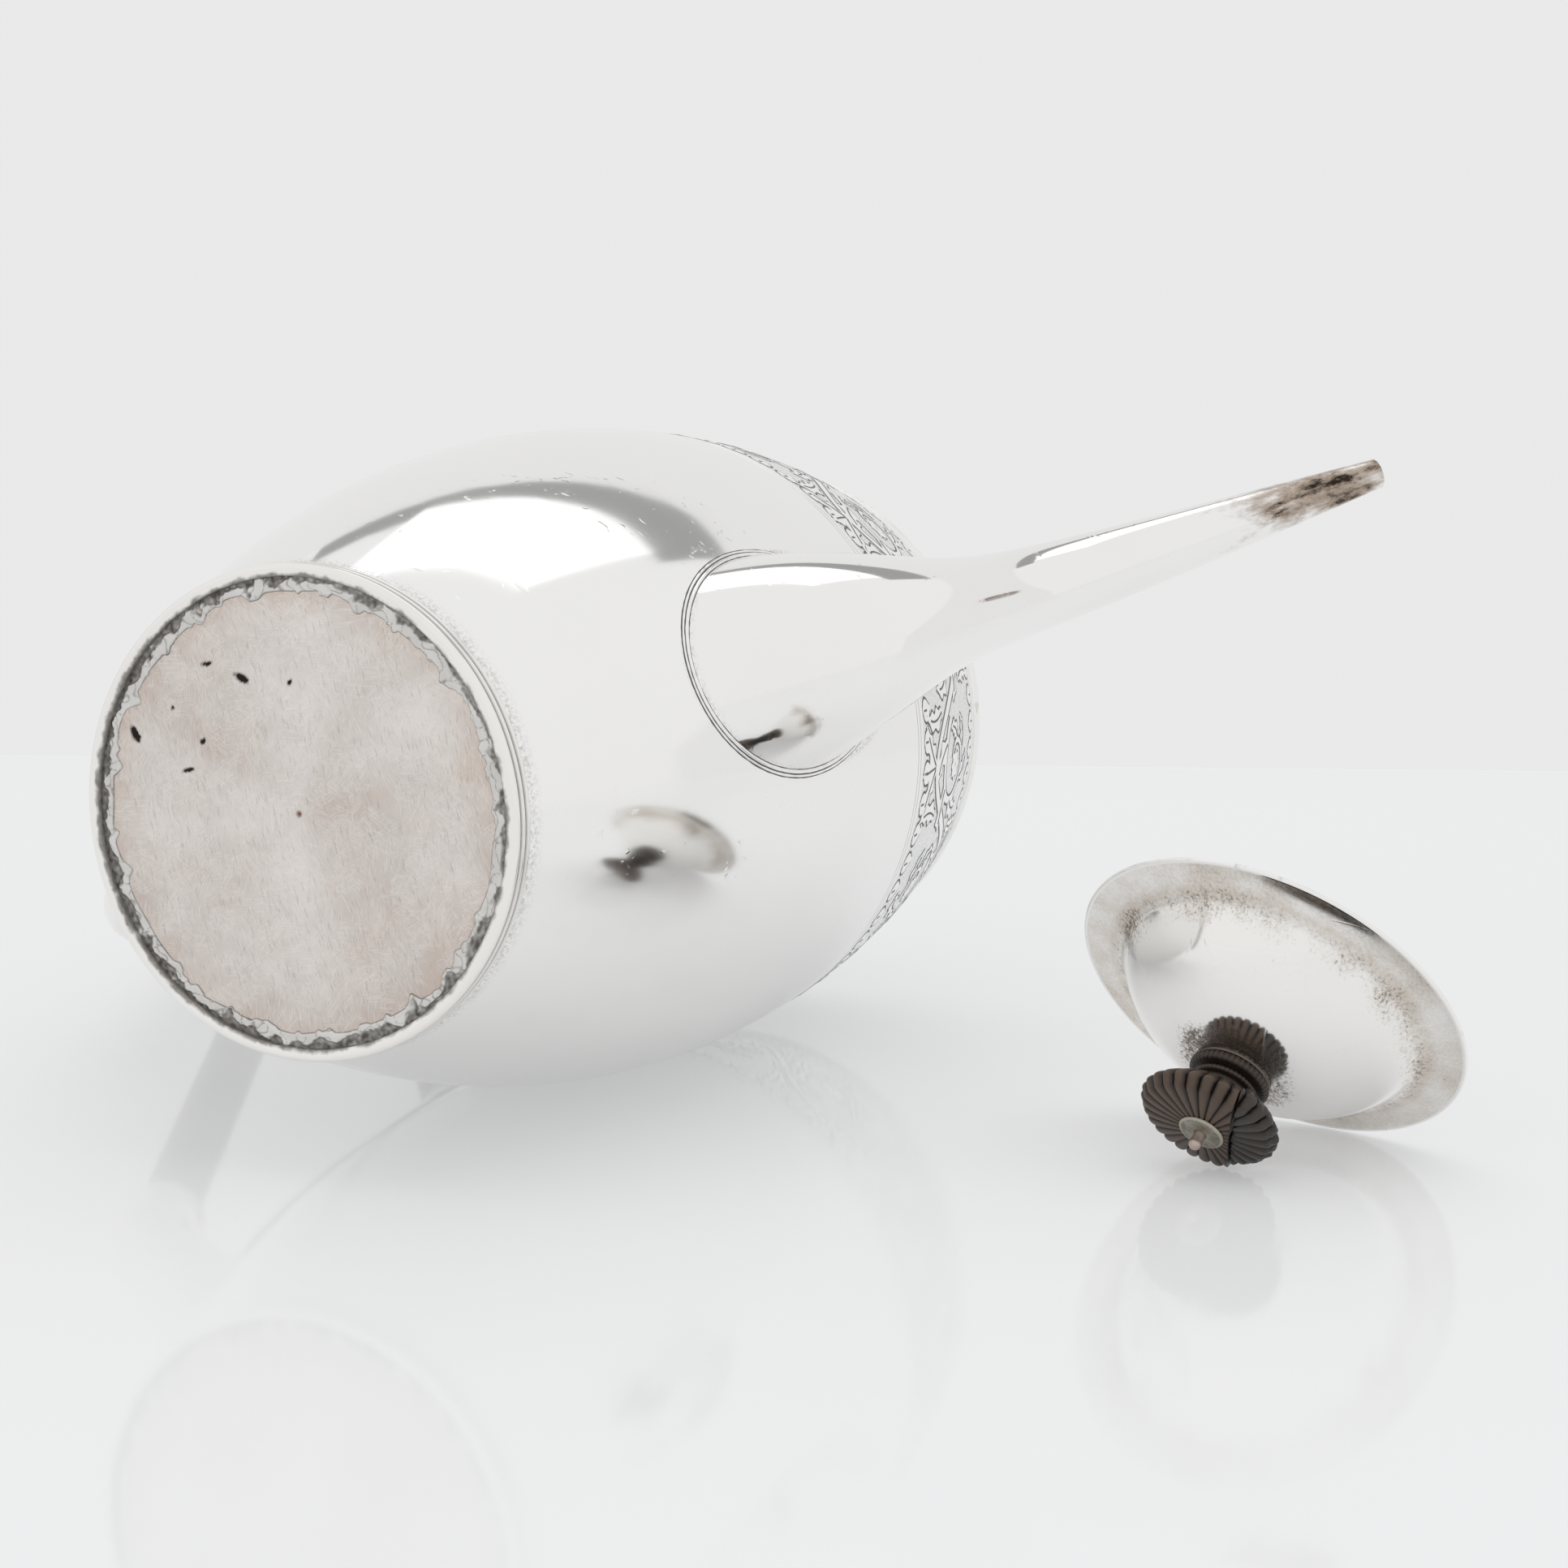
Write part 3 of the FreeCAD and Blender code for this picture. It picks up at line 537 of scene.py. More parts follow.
def scrollMotif():
    bright, dark = [], []

    def lay(line, halves, ridge, vein=True):
        dark.append(bandStrip(line, [half + scroll["edge"] for half in halves], 0.02, 0.0))
        bright.append(bandStrip(line, halves, 0.05, ridge))
        if vein:
            cut = line[1:-4]
            dark.append(bandStrip(cut, [scroll["vein"]] * len(cut), 0.06 + ridge, 0.01))

    def leaf(base, heading, length, bend, width, lobes=3, count=18, ridge=0.12, vein=True):
        lay(leafLine(base, heading, length, bend, count), leafHalves(width, lobes, count), ridge, vein)

    for turn in range(scroll["repeats"] * 2):
        way = 1 if turn % 2 == 0 else -1
        start = turn * scrollLength / 2
        wave = [(start + share * scrollLength / 2, way * scroll["rise"] * math.sin(math.pi * share))
                for share in np.linspace(0, 1, 30)]
        lay(wave, [scroll["stem"]] * len(wave), 0.05, False)
        middle = np.array([start + scrollLength * 0.27, -way * 3.5])
        shares = np.linspace(0, 1, scroll["curlSteps"])
        curl = []
        for share in shares:
            spin = way * math.radians(150 - 400 * share)
            curl.append(middle + (scroll["curl"] - scroll["tighten"] * share) * wayAt(spin))
        lay(curl, [0.95 - 0.5 * share for share in shares], 0.05, False)
        for number in range(scroll["curlLeaves"]):  # round the curl, longest first
            angle = way * math.radians(120 - number * 58)
            base = middle + (10.4 - number * 0.95) * wayAt(angle)
            leaf(base, math.degrees(angle) - way * 52, 12.5 - number, -way * 70, 6.2 - number * 0.4)
        flower = middle + np.array([0.6, 0])
        for number in range(scroll["petals"]):
            heading = number * 360 / scroll["petals"]
            leaf(flower + wayAt(math.radians(heading)) * 0.35, heading, 3.3, 0, 2.4, 0, 8, 0.1, False)
        for lean in (38, -4, -44):  # leaves in the hollow on the other side
            base = (start + scrollLength * 0.25, way * (scroll["rise"] + 1.2))
            leaf(base, way * (90 + lean), 9.8 + abs(lean) * 0.06, way * lean * 0.9, 5.6)
        for lean in (-1, 1):
            base = (start + scrollLength * (0.25 + 0.2 * lean), way * 10.5)
            leaf(base, way * (90 + lean * 24), 13.0, -way * lean * 60, 5.2)
    step = 2 * math.pi * scroll["nominal"] / scroll["borderLeaves"]
    for number in range(scroll["borderLeaves"]):
        for way in (-1, 1):
            leaf((number * step, way * scroll["borderReach"]), -way * 90, 5.4, 14, 4.6, 0, 8, 0.1)
    return bright, dark


def darkSilver():
    paint, wear, haze = silverPaint("engravedLine")
    speck = paint.cloud(1300, 3.0)
    tone = paint.mix(speck, (0.09, 0.09, 0.094), (0.22, 0.22, 0.228))
    return paint.finish(Base_Color=tone, Metallic=1.0, Roughness=haze * 0.2 + 0.35)


leafFinish = plainSilver("leafSilver", 0.2, 0.1)
lineFinish = darkSilver()
brightStrips, darkStrips = scrollMotif()
piece("leafScroll", brightStrips, "pot", leafFinish, sharp=30)
piece("leafScrollLines", darkStrips, "pot", lineFinish, sharp=30)
print("engraved band")

# foot: reeded ring, base plate with its solder
foot = {"bore": pot["footRadius"] - pot["footWidth"], "plateLevel": 1.2, "plateThick": 0.8, "turns": 240}


def footSilver():
    paint, wear, haze = silverPaint("footSilver")
    reach = paint.reach()
    height = paint.part(2)
    groove = (1 - reach.step(0.04455, 0.045)) * height.step(0.0009, 0.0016)
    dirt = groove * (paint.cloud(500, 5.0, 0.7) * 0.4 + 0.52)
    creep = reach + (paint.cloud(300, 3.0, 0.55) - 0.5) * 0.0022
    dirt = dirt.most((1 - creep.step(0.0426, 0.0435)) * (paint.cloud(900, 4.0, 0.6) * 0.5 + 0.5))
    dirt = dirt.most(paint.cloud(1100, 6.0, 0.7).step(0.68, 0.78) * 0.4)
    tone = paint.mix(haze, (0.95, 0.935, 0.91), (0.87, 0.845, 0.81))
    tone = paint.mix(dirt, tone, (0.12, 0.11, 0.1))
    gloss = haze * 0.08 + wear * 0.08 + dirt * 0.4 + 0.08
    return paint.metal(tone, gloss, paint.bump(wear + haze * 0.4, 0.08, 0.0002))


footProfile = [(foot["bore"], pot["footHeight"]), (foot["bore"], 0.25), (foot["bore"] + 0.25, 0.0),
               (wallFoot - 0.1, 0.0)]
footProfile += reedRun(wallFoot, 0.0, pot["footHeight"], 3, 12)
piece("reededFoot", [turned(footProfile, foot["turns"])], "pot", footSilver(), ["foot_ring"], 50)

# dark pits in the base: angle round the axis, distance from it, half length, half width, lean
base = {"pits": ((176, 26.6, 1.8, 0.75, -45), (166, 32.4, 1.5, 0.38, -78), (198, 23.6, 0.65, 0.45, 52),
                 (132, 37.0, 1.8, 0.85, -8), (146, 32.0, 0.4, 0.32, 0), (143, 23.5, 0.7, 0.5, 72),
                 (128, 24.2, 1.7, 0.38, -83)),
        "rows": 130, "turns": 480, "dot": 0.55}


def basePlate():
    reaches = np.linspace(0.15, foot["bore"], base["rows"])
    angles = circle(base["turns"])
    rows = np.zeros((base["rows"] + 1, base["turns"], 3))
    pit, dot, edge = np.zeros((3, base["rows"] + 1, base["turns"]))
    for row, reach in enumerate(reaches):
        for step, angle in enumerate(angles):
            spot = (reach * math.cos(angle), reach * math.sin(angle), 0.0)
            uneven = 0.16 * rough(spot, 0.06, 3.0) + 0.05 * rough(spot, 0.25, 7.0)
            uneven *= min(1.0, (foot["bore"] - reach) / 4)
            deep = 0.0
            for turn, away, long, wide, lean in base["pits"]:
                middle = (away * math.cos(math.radians(turn)), away * math.sin(math.radians(turn)))
                right, up = spot[0] - middle[0], spot[1] - middle[1]
                if abs(right) + abs(up) > 3 * long:
                    continue
                lean = math.radians(lean)
                first = (right * math.cos(lean) + up * math.sin(lean)) / long
                second = (up * math.cos(lean) - right * math.sin(lean)) / wide
                ragged = 0.35 * rough(spot, 1.6, turn)
                deep = max(deep, 1.0 - min(1.0, max(0.0, math.hypot(first, second) - 0.6 + ragged) / 0.5))
            dot[row, step] = math.exp(-(reach / base["dot"]) ** 4)
            sunk = 0.2 * deep + 0.25 * dot[row, step]
            rows[row, step] = spot[0], spot[1], foot["plateLevel"] + uneven + sunk
            pit[row, step] = deep
            edge[row, step] = max(0.0, 1 - (foot["bore"] - reach) / 11)
    rows[-1] = rows[-2]
    rows[-1, :, 2] = foot["plateLevel"] + foot["plateThick"]
    faces = ringFaces(base["rows"] + 1, base["turns"], False, True, True)
    return rows.reshape(-1, 3), faces, {"pit": pit.ravel(), "dot": dot.ravel(), "edge": edge.ravel()}


def baseSilver():
    paint = Paint("baseSilver")

    def fileMarks(turn):
        lines = paint.cloud(4600, 2.0, 0.55, (1.0, 0.085, 1.0), turn)
        patch = paint.cloud(110, 2.0, 0.5, (1.0, 1.0, 1.0), turn * 3)
        return lines * patch.step(0.4, 0.56)

    # short file marks, run in patches
    file = functools.reduce(Link.most, map(fileMarks, (8, 35, 66, 97, 128, 160)))
    dents = paint.cloud(3600, 2.0, 0.55, (1.0, 0.1, 1.0), 83).step(0.58, 0.7)
    wear = scratches(paint, 1500)
    cloudy = paint.cloud(38, 5.0, 0.6)
    brown = paint.cloud(55, 5.0, 0.65).step(0.45, 0.72)
    edge = paint.mark("edge")
    pit = paint.mark("pit")
    speck = paint.cloud(900, 6.0, 0.75).step(0.7, 0.77)
    tone = paint.mix(cloudy.step(0.3, 0.7), (0.82, 0.78, 0.745), (0.68, 0.625, 0.585))
    tone = paint.mix(brown * 0.32 + edge * brown * 0.4, tone, (0.6, 0.46, 0.36))
    tone = paint.mix(edge * edge * 0.62, tone, (0.55, 0.4, 0.31))
    tone = paint.mix(file.step(0.48, 0.66) * 0.4, tone, (0.93, 0.9, 0.87))
    tone = paint.mix(dents * 0.35, tone, (0.4, 0.34, 0.3))
    tone = paint.mix(wear * 0.35, tone, (0.92, 0.89, 0.86))
    tone = paint.mix((pit * 1.3).most(speck * 0.45), tone, (0.03, 0.022, 0.018))
    tone = paint.mix(paint.mark("dot"), tone, (0.2, 0.075, 0.045))
    gloss = cloudy * 0.15 + file * 0.16 + pit * 0.3 + 0.34
    lift = paint.bump(file * 0.9 + cloudy * 0.5 - dents * 0.5, 0.3, 0.0002)
    return paint.metal(tone, gloss, lift, 0.72)


piece("basePlate", [basePlate()], "pot", baseSilver(), ["base_plate"], 60)

seam = {"width": 2.7, "swell": 0.8, "lump": 2.6, "lumpReach": 42, "grooveStart": 0.5, "turns": 1100,
        "waves": ((5, 0.35, 0.4), (9, 0.30, 2.1), (14, 0.25, 4.0), (23, 0.20, 1.3))}


def solderSeam():
    shares = np.linspace(0, 1, 18)
    rows = np.zeros((len(shares) + 2, seam["turns"], 3))
    dirt = np.zeros((len(shares) + 2, seam["turns"]))
    back = foot["plateLevel"] + 0.3
    outer = foot["bore"] + 0.1
    for step in range(seam["turns"]):
        angle = 2 * math.pi * step / seam["turns"]
        swell = sum(part * math.sin(count * angle + phase) for count, part, phase in seam["waves"])
        way = wayAt(angle)
        middle = (way[0] * seam["lumpReach"], way[1] * seam["lumpReach"], 0)
        lump = rough(middle, 0.24, 5.0) + 0.3 * rough(middle, 0.7, 3.0)
        inner = foot["bore"] - seam["width"] - seam["swell"] * swell - seam["lump"] * max(0.0, lump)
        for row, share in enumerate(shares):
            reach = inner + (outer - inner) * share
            spot = (way[0] * reach, way[1] * reach, 0.0)
            bead = math.sin(math.pi * min(1.0, share * 4.5 + 0.02) / 2) ** 0.6
            ragged = 0.75 * rough(spot, 0.3, 2.0) + 0.2 * rough(spot, 1.2, 8.0)
            groove = min(1.0, max(0.0, (share + ragged - seam["grooveStart"]) / 0.16))
            bumps = 0.18 * rough(spot, 0.5, 1.0) + 0.1 * rough(spot, 2.0, 4.0)
            level = foot["plateLevel"] + 0.06 - bead * (0.42 + bumps) * (1 - 0.75 * groove)
            rows[row, step] = spot[0], spot[1], max(level, 0.32)
            crack = max(0.0, 1 - abs(rough(spot, 0.42, 9.0)) / 0.06)
            dirt[row, step] = max(1 - share * 14, groove * (0.8 + 0.5 * rough(spot, 1.1, 6.0)), crack * 0.7)
        rows[-2, step] = way[0] * outer, way[1] * outer, back
        rows[-1, step] = way[0] * inner, way[1] * inner, back
    faces = ringFaces(len(rows), seam["turns"], True)
    return rows.reshape(-1, 3), faces, {"dirt": np.clip(dirt, 0, 1).ravel()}


def solderSilver():
    paint = Paint("solderSilver")
    dirt = paint.mark("dirt")
    speck = paint.cloud(1100, 6.0, 0.7)
    grime = dirt.most(speck.step(0.64, 0.76) * 0.5)
    tone = paint.mix(paint.cloud(180, 4.0), (0.84, 0.83, 0.81), (0.55, 0.53, 0.505))
    tone = paint.mix(grime * (paint.cloud(420, 5.0, 0.7).step(0.25, 0.7) * 0.35 + 0.63), tone,
                     (0.085, 0.07, 0.056))
    gloss = grime * 0.35 + speck * 0.2 + 0.18
    return paint.metal(tone, gloss, paint.bump(speck, 0.3, 0.0003), 0.95)


piece("solderSeam", [solderSeam()], "pot", solderSilver(), ["base_solder_seam"], 70)
print("foot and base")

# shoulder and mouth
neck = {"wireWidth": 2.6, "wireHeight": 3.0, "plateOuter": 57.8, "plateInner": 57.425, "plateEdge": 0.75,
        "plateTop": 208.0, "plateUnder": 206.725, "mouth": 36.0, "collarOuter": 37.0, "collarLow": 203.0,
        "lipLow": 210.8, "lipHeight": 2.2, "lipMiddle": 37.3}
trimFinish = plainSilver("trimSilver", 0.5, 0.07)
wireTop = pot["shoulderHeight"] + neck["wireHeight"]
wireInner = pot["shoulder"] - neck["wireWidth"]
wireProfile = [(wireInner, wireTop), (wireInner, pot["shoulderHeight"])]
wireProfile += reedRun(pot["shoulder"], pot["shoulderHeight"], neck["wireHeight"], 3)
piece("shoulderWire", [turned(wireProfile, 240)], "pot", trimFinish, ["shoulder_wire"], 50)
plateEdge = (neck["plateOuter"], wireTop + neck["plateEdge"])
plateTop = (neck["collarOuter"], neck["plateTop"])
underTop = (neck["collarOuter"], neck["plateUnder"])
underEdge = (neck["plateInner"], wireTop)
plateProfile = [(neck["plateOuter"], wireTop)]
plateProfile += arcRun(bendCentre(plateEdge, plateTop), plateEdge, plateTop, 28)
plateProfile += arcRun(bendCentre(underEdge, underTop), underTop, underEdge, 20)
piece("shoulderPlate", [turned(plateProfile)], "pot", trimFinish, ["shoulder_plate"], 50)
lipTop = neck["lipLow"] + neck["lipHeight"]
collarProfile = [(neck["mouth"], neck["collarLow"]), (neck["collarOuter"], neck["collarLow"]),
                 (neck["collarOuter"], neck["lipLow"])]
collarProfile += reedRun(neck["lipMiddle"], neck["lipLow"], neck["lipHeight"], 1, 14)
collarProfile += [(neck["mouth"] + 0.3, lipTop), (neck["mouth"], lipTop - 0.4)]
piece("mouthCollar", [turned(collarProfile)], "pot", trimFinish, ["mouth_collar"], 50)


def spoutSilver():
    paint, wear, haze = silverPaint("spoutSilver")
    along = paint.mark("along")
    under = paint.mark("under")
    stream = paint.cloud(70, 6.0, 0.7, (1.0, 0.25, 0.3))
    fine = paint.cloud(330, 6.0, 0.75, (1.0, 0.3, 0.4))
    reach = along.step(0.62, 0.96) * (under * 0.75 + 0.25)
    stain = (stream * 0.6 + fine * 0.56 + reach * 0.36).step(0.77, 0.99) * along.step(0.52, 0.74)
    black = (stream * 0.45 + fine * 0.68 + reach * 0.33).step(0.89, 1.02) * along.step(0.72, 0.88)
    rootGrime = (1 - along.step(0.0, 0.014)) * paint.cloud(1500, 5.0, 0.65).step(0.42, 0.7) * 0.5
    tone = paint.mix(haze, (0.95, 0.945, 0.935), (0.9, 0.89, 0.875))
    tone = paint.mix(stain * 0.85, tone, (0.33, 0.235, 0.16))
    tone = paint.mix(black, tone, (0.035, 0.026, 0.02))
    tone = paint.mix(rootGrime, tone, (0.2, 0.18, 0.16))
    gloss = haze * 0.06 + wear * 0.05 + stain * 0.22 + black * 0.2 + rootGrime * 0.3 + 0.04
    lift = paint.bump(wear + haze * 0.5 + fine * stain, 0.08, 0.0002)
    return paint.metal(tone, gloss, lift)


def hornShell(point, side, turns, rows, wall, sink=0.3):
    # outer and inner skin of a horn from the body's surface to its open end
    angles = circle(turns)
    starts = [comesOut(point, angle, side, sink) for angle in angles]
    shares = np.linspace(0, 1, rows)

    def skin(share, grow):
        return [point(start + (1 - start) * share, angle, grow, side) for start, angle in zip(starts, angles)]

    outer = [skin(share, 0.0) for share in shares]
    inner = [skin(share, -wall) for share in shares[::-1]]
    lip = (np.array(outer[-1]) + np.array(inner[0])) / 2
    lip = lip + (np.mean(outer[-1], axis=0) - np.mean(outer[-2], axis=0)) * 0.25
    grid = np.array(outer + [lip.tolist()] + inner)
    along = np.repeat(np.concatenate([shares, [1.0], shares[::-1]]), turns)
    under = np.tile((1 - np.cos(angles)) / 2, len(grid))
    return grid.reshape(-1, 3), ringFaces(len(grid), turns, True), {"along": along, "under": under}


spoutShell = hornShell(spoutPoint, -1, spout["turns"], spout["rows"], spout["wall"])
piece("spout", [spoutShell], "pot", spoutSilver(), ["spout_shell"], 50)


def rootWire(line, width, height, out, ragged, seed):
    # wire that lies on the body round the spout's root, out mm from the line
    ahead = unit(np.roll(line, -1, axis=0) - np.roll(line, 1, axis=0))
    away = unit(line * np.array([1.0, 1.0, 0.0]))
    side = unit(np.cross(ahead, away))
    outward = line - line.mean(axis=0)
    side *= np.sign(np.sum(side * outward, axis=1))[:, None]
    uneven = np.array([1 + ragged * rough(spot, 0.6, seed) for spot in line])
    path = line + side * out
    path = path + away * (np.array([bodyRadius(spot[2]) for spot in path])
                          - np.hypot(path[:, 0], path[:, 1]))[:, None]
    return tube(path, side, away, width * uneven, height * uneven, False)


# wires and grooves: half width, half height, distance from the root line, unevenness, seed
root = {"turns": 420, "wires": ((0.42, 0.45, 0.35, 0.1, 1.0), (0.28, 0.25, 1.2, 0.2, 6.0)),
        "grooves": ((0.17, 0.2, -0.16, 0.4, 2.0), (0.15, 0.17, 0.86, 0.4, 3.0), (0.12, 0.1, 1.56, 0.6, 8.0))}
fineRoot = spoutRoot(root["turns"])
rootWires = [rootWire(fineRoot, *wire) for wire in root["wires"]]
rootLines = [rootWire(fineRoot, *groove) for groove in root["grooves"]]
rootFinish = plainSilver("rootSilver", 0.35, 0.1)
piece("spoutRootWire", rootWires, "pot", rootFinish, ["spout_root_wire"], 60)
piece("spoutRootLines", rootLines, "pot", lineFinish, sharp=60)
print("spout")

# handle: cast sockets, pins and a dark wooden grip
handle = {"slant": math.radians(26), "bend": 20.0, "tenon": 11.0, "throat": 8.2, "bead": 0.8,
          "lower": (88.5, 74.0), "lowerRoot": (47.0, 16.5, 11.5), "upper": (83.0, 190.0),
          "upperRoot": (171.0, 14.0, 10.5)}
lowerMouth, upperMouth = np.array(handle["lower"]), np.array(handle["upper"])
gripWay = np.array([math.sin(handle["slant"]), math.cos(handle["slant"])])
bendStart = lowerMouth + gripWay * (
    (pot["reach"] - handle["bend"] * (1 - math.cos(handle["slant"])) - lowerMouth[0]) / gripWay[0])
turnCentre = bendStart + np.array([-gripWay[1], gripWay[0]]) * handle["bend"]
toCentre = turnCentre - upperMouth
centreAway = np.linalg.norm(toCentre)
armRise = math.atan2(toCentre[1], toCentre[0]) + math.asin(handle["bend"] / centreAway)
armWay = wayAt(armRise)
bendEnd = upperMouth + armWay * math.sqrt(centreAway ** 2 - handle["bend"] ** 2)


def woodFinish(name, dark, light, gloss, lines):
    paint = Paint(name)
    grain = paint.cloud(lines, 5.0, 0.6, (1.0, 1.0, 0.12))
    pores = paint.cloud(lines * 3, 3.0, 0.6, (1.0, 1.0, 0.06)).step(0.6, 0.7)
    worn = paint.cloud(60, 4.0)
    tone = paint.mix(grain.step(0.35, 0.7), dark, light)
    tone = paint.mix(pores * 0.7, tone, (0.008, 0.006, 0.005))
    shine = worn * 0.18 + pores * 0.2 + gloss
    return paint.finish(Base_Color=tone, Roughness=shine, Coat_Weight=0.15,
                        Normal=paint.bump(grain * 0.5 - pores, 0.25, 0.0004))


def gripPath():
    runs = [lowerMouth - gripWay * (handle["tenon"] - 0.3) + gripWay * step
            for step in np.linspace(0, np.linalg.norm(bendStart - lowerMouth) + handle["tenon"] - 0.3, 40)]
    arc = arcRun(turnCentre, bendStart, bendEnd, 30)
    runs += [np.array(spot) for spot in arc[1:]]
    runs += [bendEnd - armWay * step
             for step in np.linspace(0, np.linalg.norm(bendEnd - upperMouth) + handle["tenon"] - 0.3, 24)[1:]]
    return np.array(runs)


def gripBar():
    flat = gripPath()
    path = np.stack([np.zeros(len(flat)), flat[:, 0], flat[:, 1]], axis=1)
    side = np.tile(np.array([1.0, 0.0, 0.0]), (len(path), 1))
    away = np.cross(side, unit(np.gradient(path, axis=0)))
    return tube(path, side, away, pot["gripRadius"], pot["gripRadius"], True, 48)


gripFinish = woodFinish("handleWood", (0.022, 0.014, 0.01), (0.07, 0.042, 0.028), 0.28, 260)
piece("handleGrip", [gripBar()], "pot", gripFinish, ["handle_grip"])


def socketHorn(mouth, way, root):
    rootHeight, length, width = root
    start = np.array([pot["belly"] * 0.72, rootHeight])
    knee = mouth - way * handle["tenon"] * 1.3
    middle = start * 0.45 + knee * 0.55
    throat = handle["throat"]
    stations = ((start[0], start[1], length, width),
                (middle[0], middle[1], (length + throat) / 2, (width + throat) / 2),
                (knee[0], knee[1], throat * 1.06, throat * 1.04), (mouth[0], mouth[1], throat, throat))
    shell = hornShell(horn(stations), 1, 72, 48, throat - pot["gripRadius"] - 0.05)
    bead = handle["bead"]
    profile = [(throat + bead * math.cos(angle), bead * math.sin(angle)) for angle in circle(14)]
    points, faces, marks = turned(profile, 72)
    across = np.array([1.0, 0.0, 0.0])
    up = np.array([0.0, way[0], way[1]])
    side = np.cross(up, across)
    origin = np.array([0.0, mouth[0], mouth[1]]) - up * bead
    ring = origin + points[:, :1] * across + points[:, 1:2] * side + points[:, 2:3] * up
    return [shell, (ring, faces, marks)]


socketFinish = plainSilver("socketSilver", 0.4, 0.08)
lowerHorn = socketHorn(lowerMouth, gripWay, handle["lowerRoot"])
upperHorn = socketHorn(upperMouth, armWay, handle["upperRoot"])
piece("lowerSocket", lowerHorn, "pot", socketFinish, ["lower_socket"], 60)
piece("upperSocket", upperHorn, "pot", socketFinish, ["upper_socket"], 60)


def crossPin(mouth, way):
    middle = mouth - way * handle["tenon"] / 2
    half = handle["throat"] + 0.5
    rounded = ((0.05, 0.0), (0.6, 0.08), (1.0, 0.35))
    profile = [(reach, drop - half) for reach, drop in rounded]
    profile += [(reach, half - drop) for reach, drop in rounded[::-1]]
    points, faces, marks = turned(profile, 24, False, True)
    points = np.stack([points[:, 2], points[:, 0] + middle[0], points[:, 1] + middle[1]], axis=1)
    return [(points, faces, marks)]


piece("lowerHandlePin", crossPin(lowerMouth, gripWay), "pot", socketFinish, ["lower_handle_pin"])
piece("upperHandlePin", crossPin(upperMouth, armWay), "pot", socketFinish, ["upper_handle_pin"])
print("handle")

# lid
lid = {"turnAngle": 165.1, "tilt": 40.368, "rim": 7.0, "brim": 38.3, "edge": 0.9, "dome": 30.0,
       "domeFoot": 10.2, "crown": 25.8, "wall": 0.8, "seat": 7.5, "seatThick": 0.6, "pinHole": 1.25,
       "bezelInner": 34.7, "bezelOuter": 35.7, "bezelLow": 5.3, "wireMiddle": 38.65}
lidTurn = Matrix.Rotation(math.radians(lid["turnAngle"]), 4, "Z") @ Matrix.Rotation(
    math.radians(90 + lid["tilt"]), 4, "Y")
wireLow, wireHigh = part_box("lid_rim_wire")
lidMiddle = (wireLow + wireHigh) / 2 - lidTurn @ Vector((0, 0, (lid["rim"] + lid["edge"] / 2) * mm))
places["lid"] = Matrix.Translation(lidMiddle) @ lidTurn


def onAxis(start, end):
    # centre on the lid's axis of the bend through both
    rise = start[1] - end[1]
    return (0.0, (start[0] ** 2 - end[0] ** 2 + start[1] ** 2 - end[1] ** 2) / (2 * rise))


def lidProfile():
    brimStart, brimEnd = (lid["brim"], lid["rim"] + lid["edge"]), (lid["dome"], lid["domeFoot"])
    profile = [(lid["bezelInner"], lid["rim"]), (lid["brim"], lid["rim"])]
    profile += arcRun(bendCentre(brimStart, brimEnd), brimStart, brimEnd, 16)
    crownEdge = (lid["seat"], lid["crown"])
    profile += arcRun(onAxis(brimEnd, crownEdge), brimEnd, crownEdge, 60)[1:]
    profile += [(lid["pinHole"], lid["crown"]), (lid["pinHole"], lid["crown"] - lid["wall"])]
    inStart = (lid["seat"], lid["crown"] - lid["wall"])
    inEnd = (lid["dome"] - lid["wall"], lid["domeFoot"] - 0.4)
    return profile + arcRun(onAxis(inStart, inEnd), inStart, inEnd, 40)


def lidSilver():
    paint, wear, haze = silverPaint("lidSilver")
    reach = paint.reach()
    patch = paint.cloud(75, 5.0, 0.65)
    fine = paint.cloud(1500, 6.0, 0.75)
    nearSeat = 1 - reach.step(0.0085, 0.0155)
    valley = 1 - (reach - 0.0302).size().step(0.0, 0.0042)
    brim = reach.step(0.0295, 0.033)
    specks = (fine * 0.7 + patch * 0.45 + nearSeat * 0.24 + valley * 0.14 + brim * 0.03).step(0.7, 0.88)
    brown = (patch * 0.6 + fine * 0.45 + brim * 0.25 + valley * 0.24 + nearSeat * 0.2).step(0.62, 0.95)
    tone = paint.mix(haze, (0.95, 0.94, 0.92), (0.88, 0.865, 0.84))
    tone = paint.mix(brown * 0.6, tone, (0.54, 0.45, 0.35))
    tone = paint.mix(specks * 0.8, tone, (0.12, 0.08, 0.055))
    gloss = haze * 0.08 + wear * 0.06 + brown * 0.16 + specks * 0.3 + 0.06
    lift = paint.bump(wear + haze * 0.5 + fine * brown * 0.6, 0.1, 0.0002)
    return paint.metal(tone, gloss, lift)


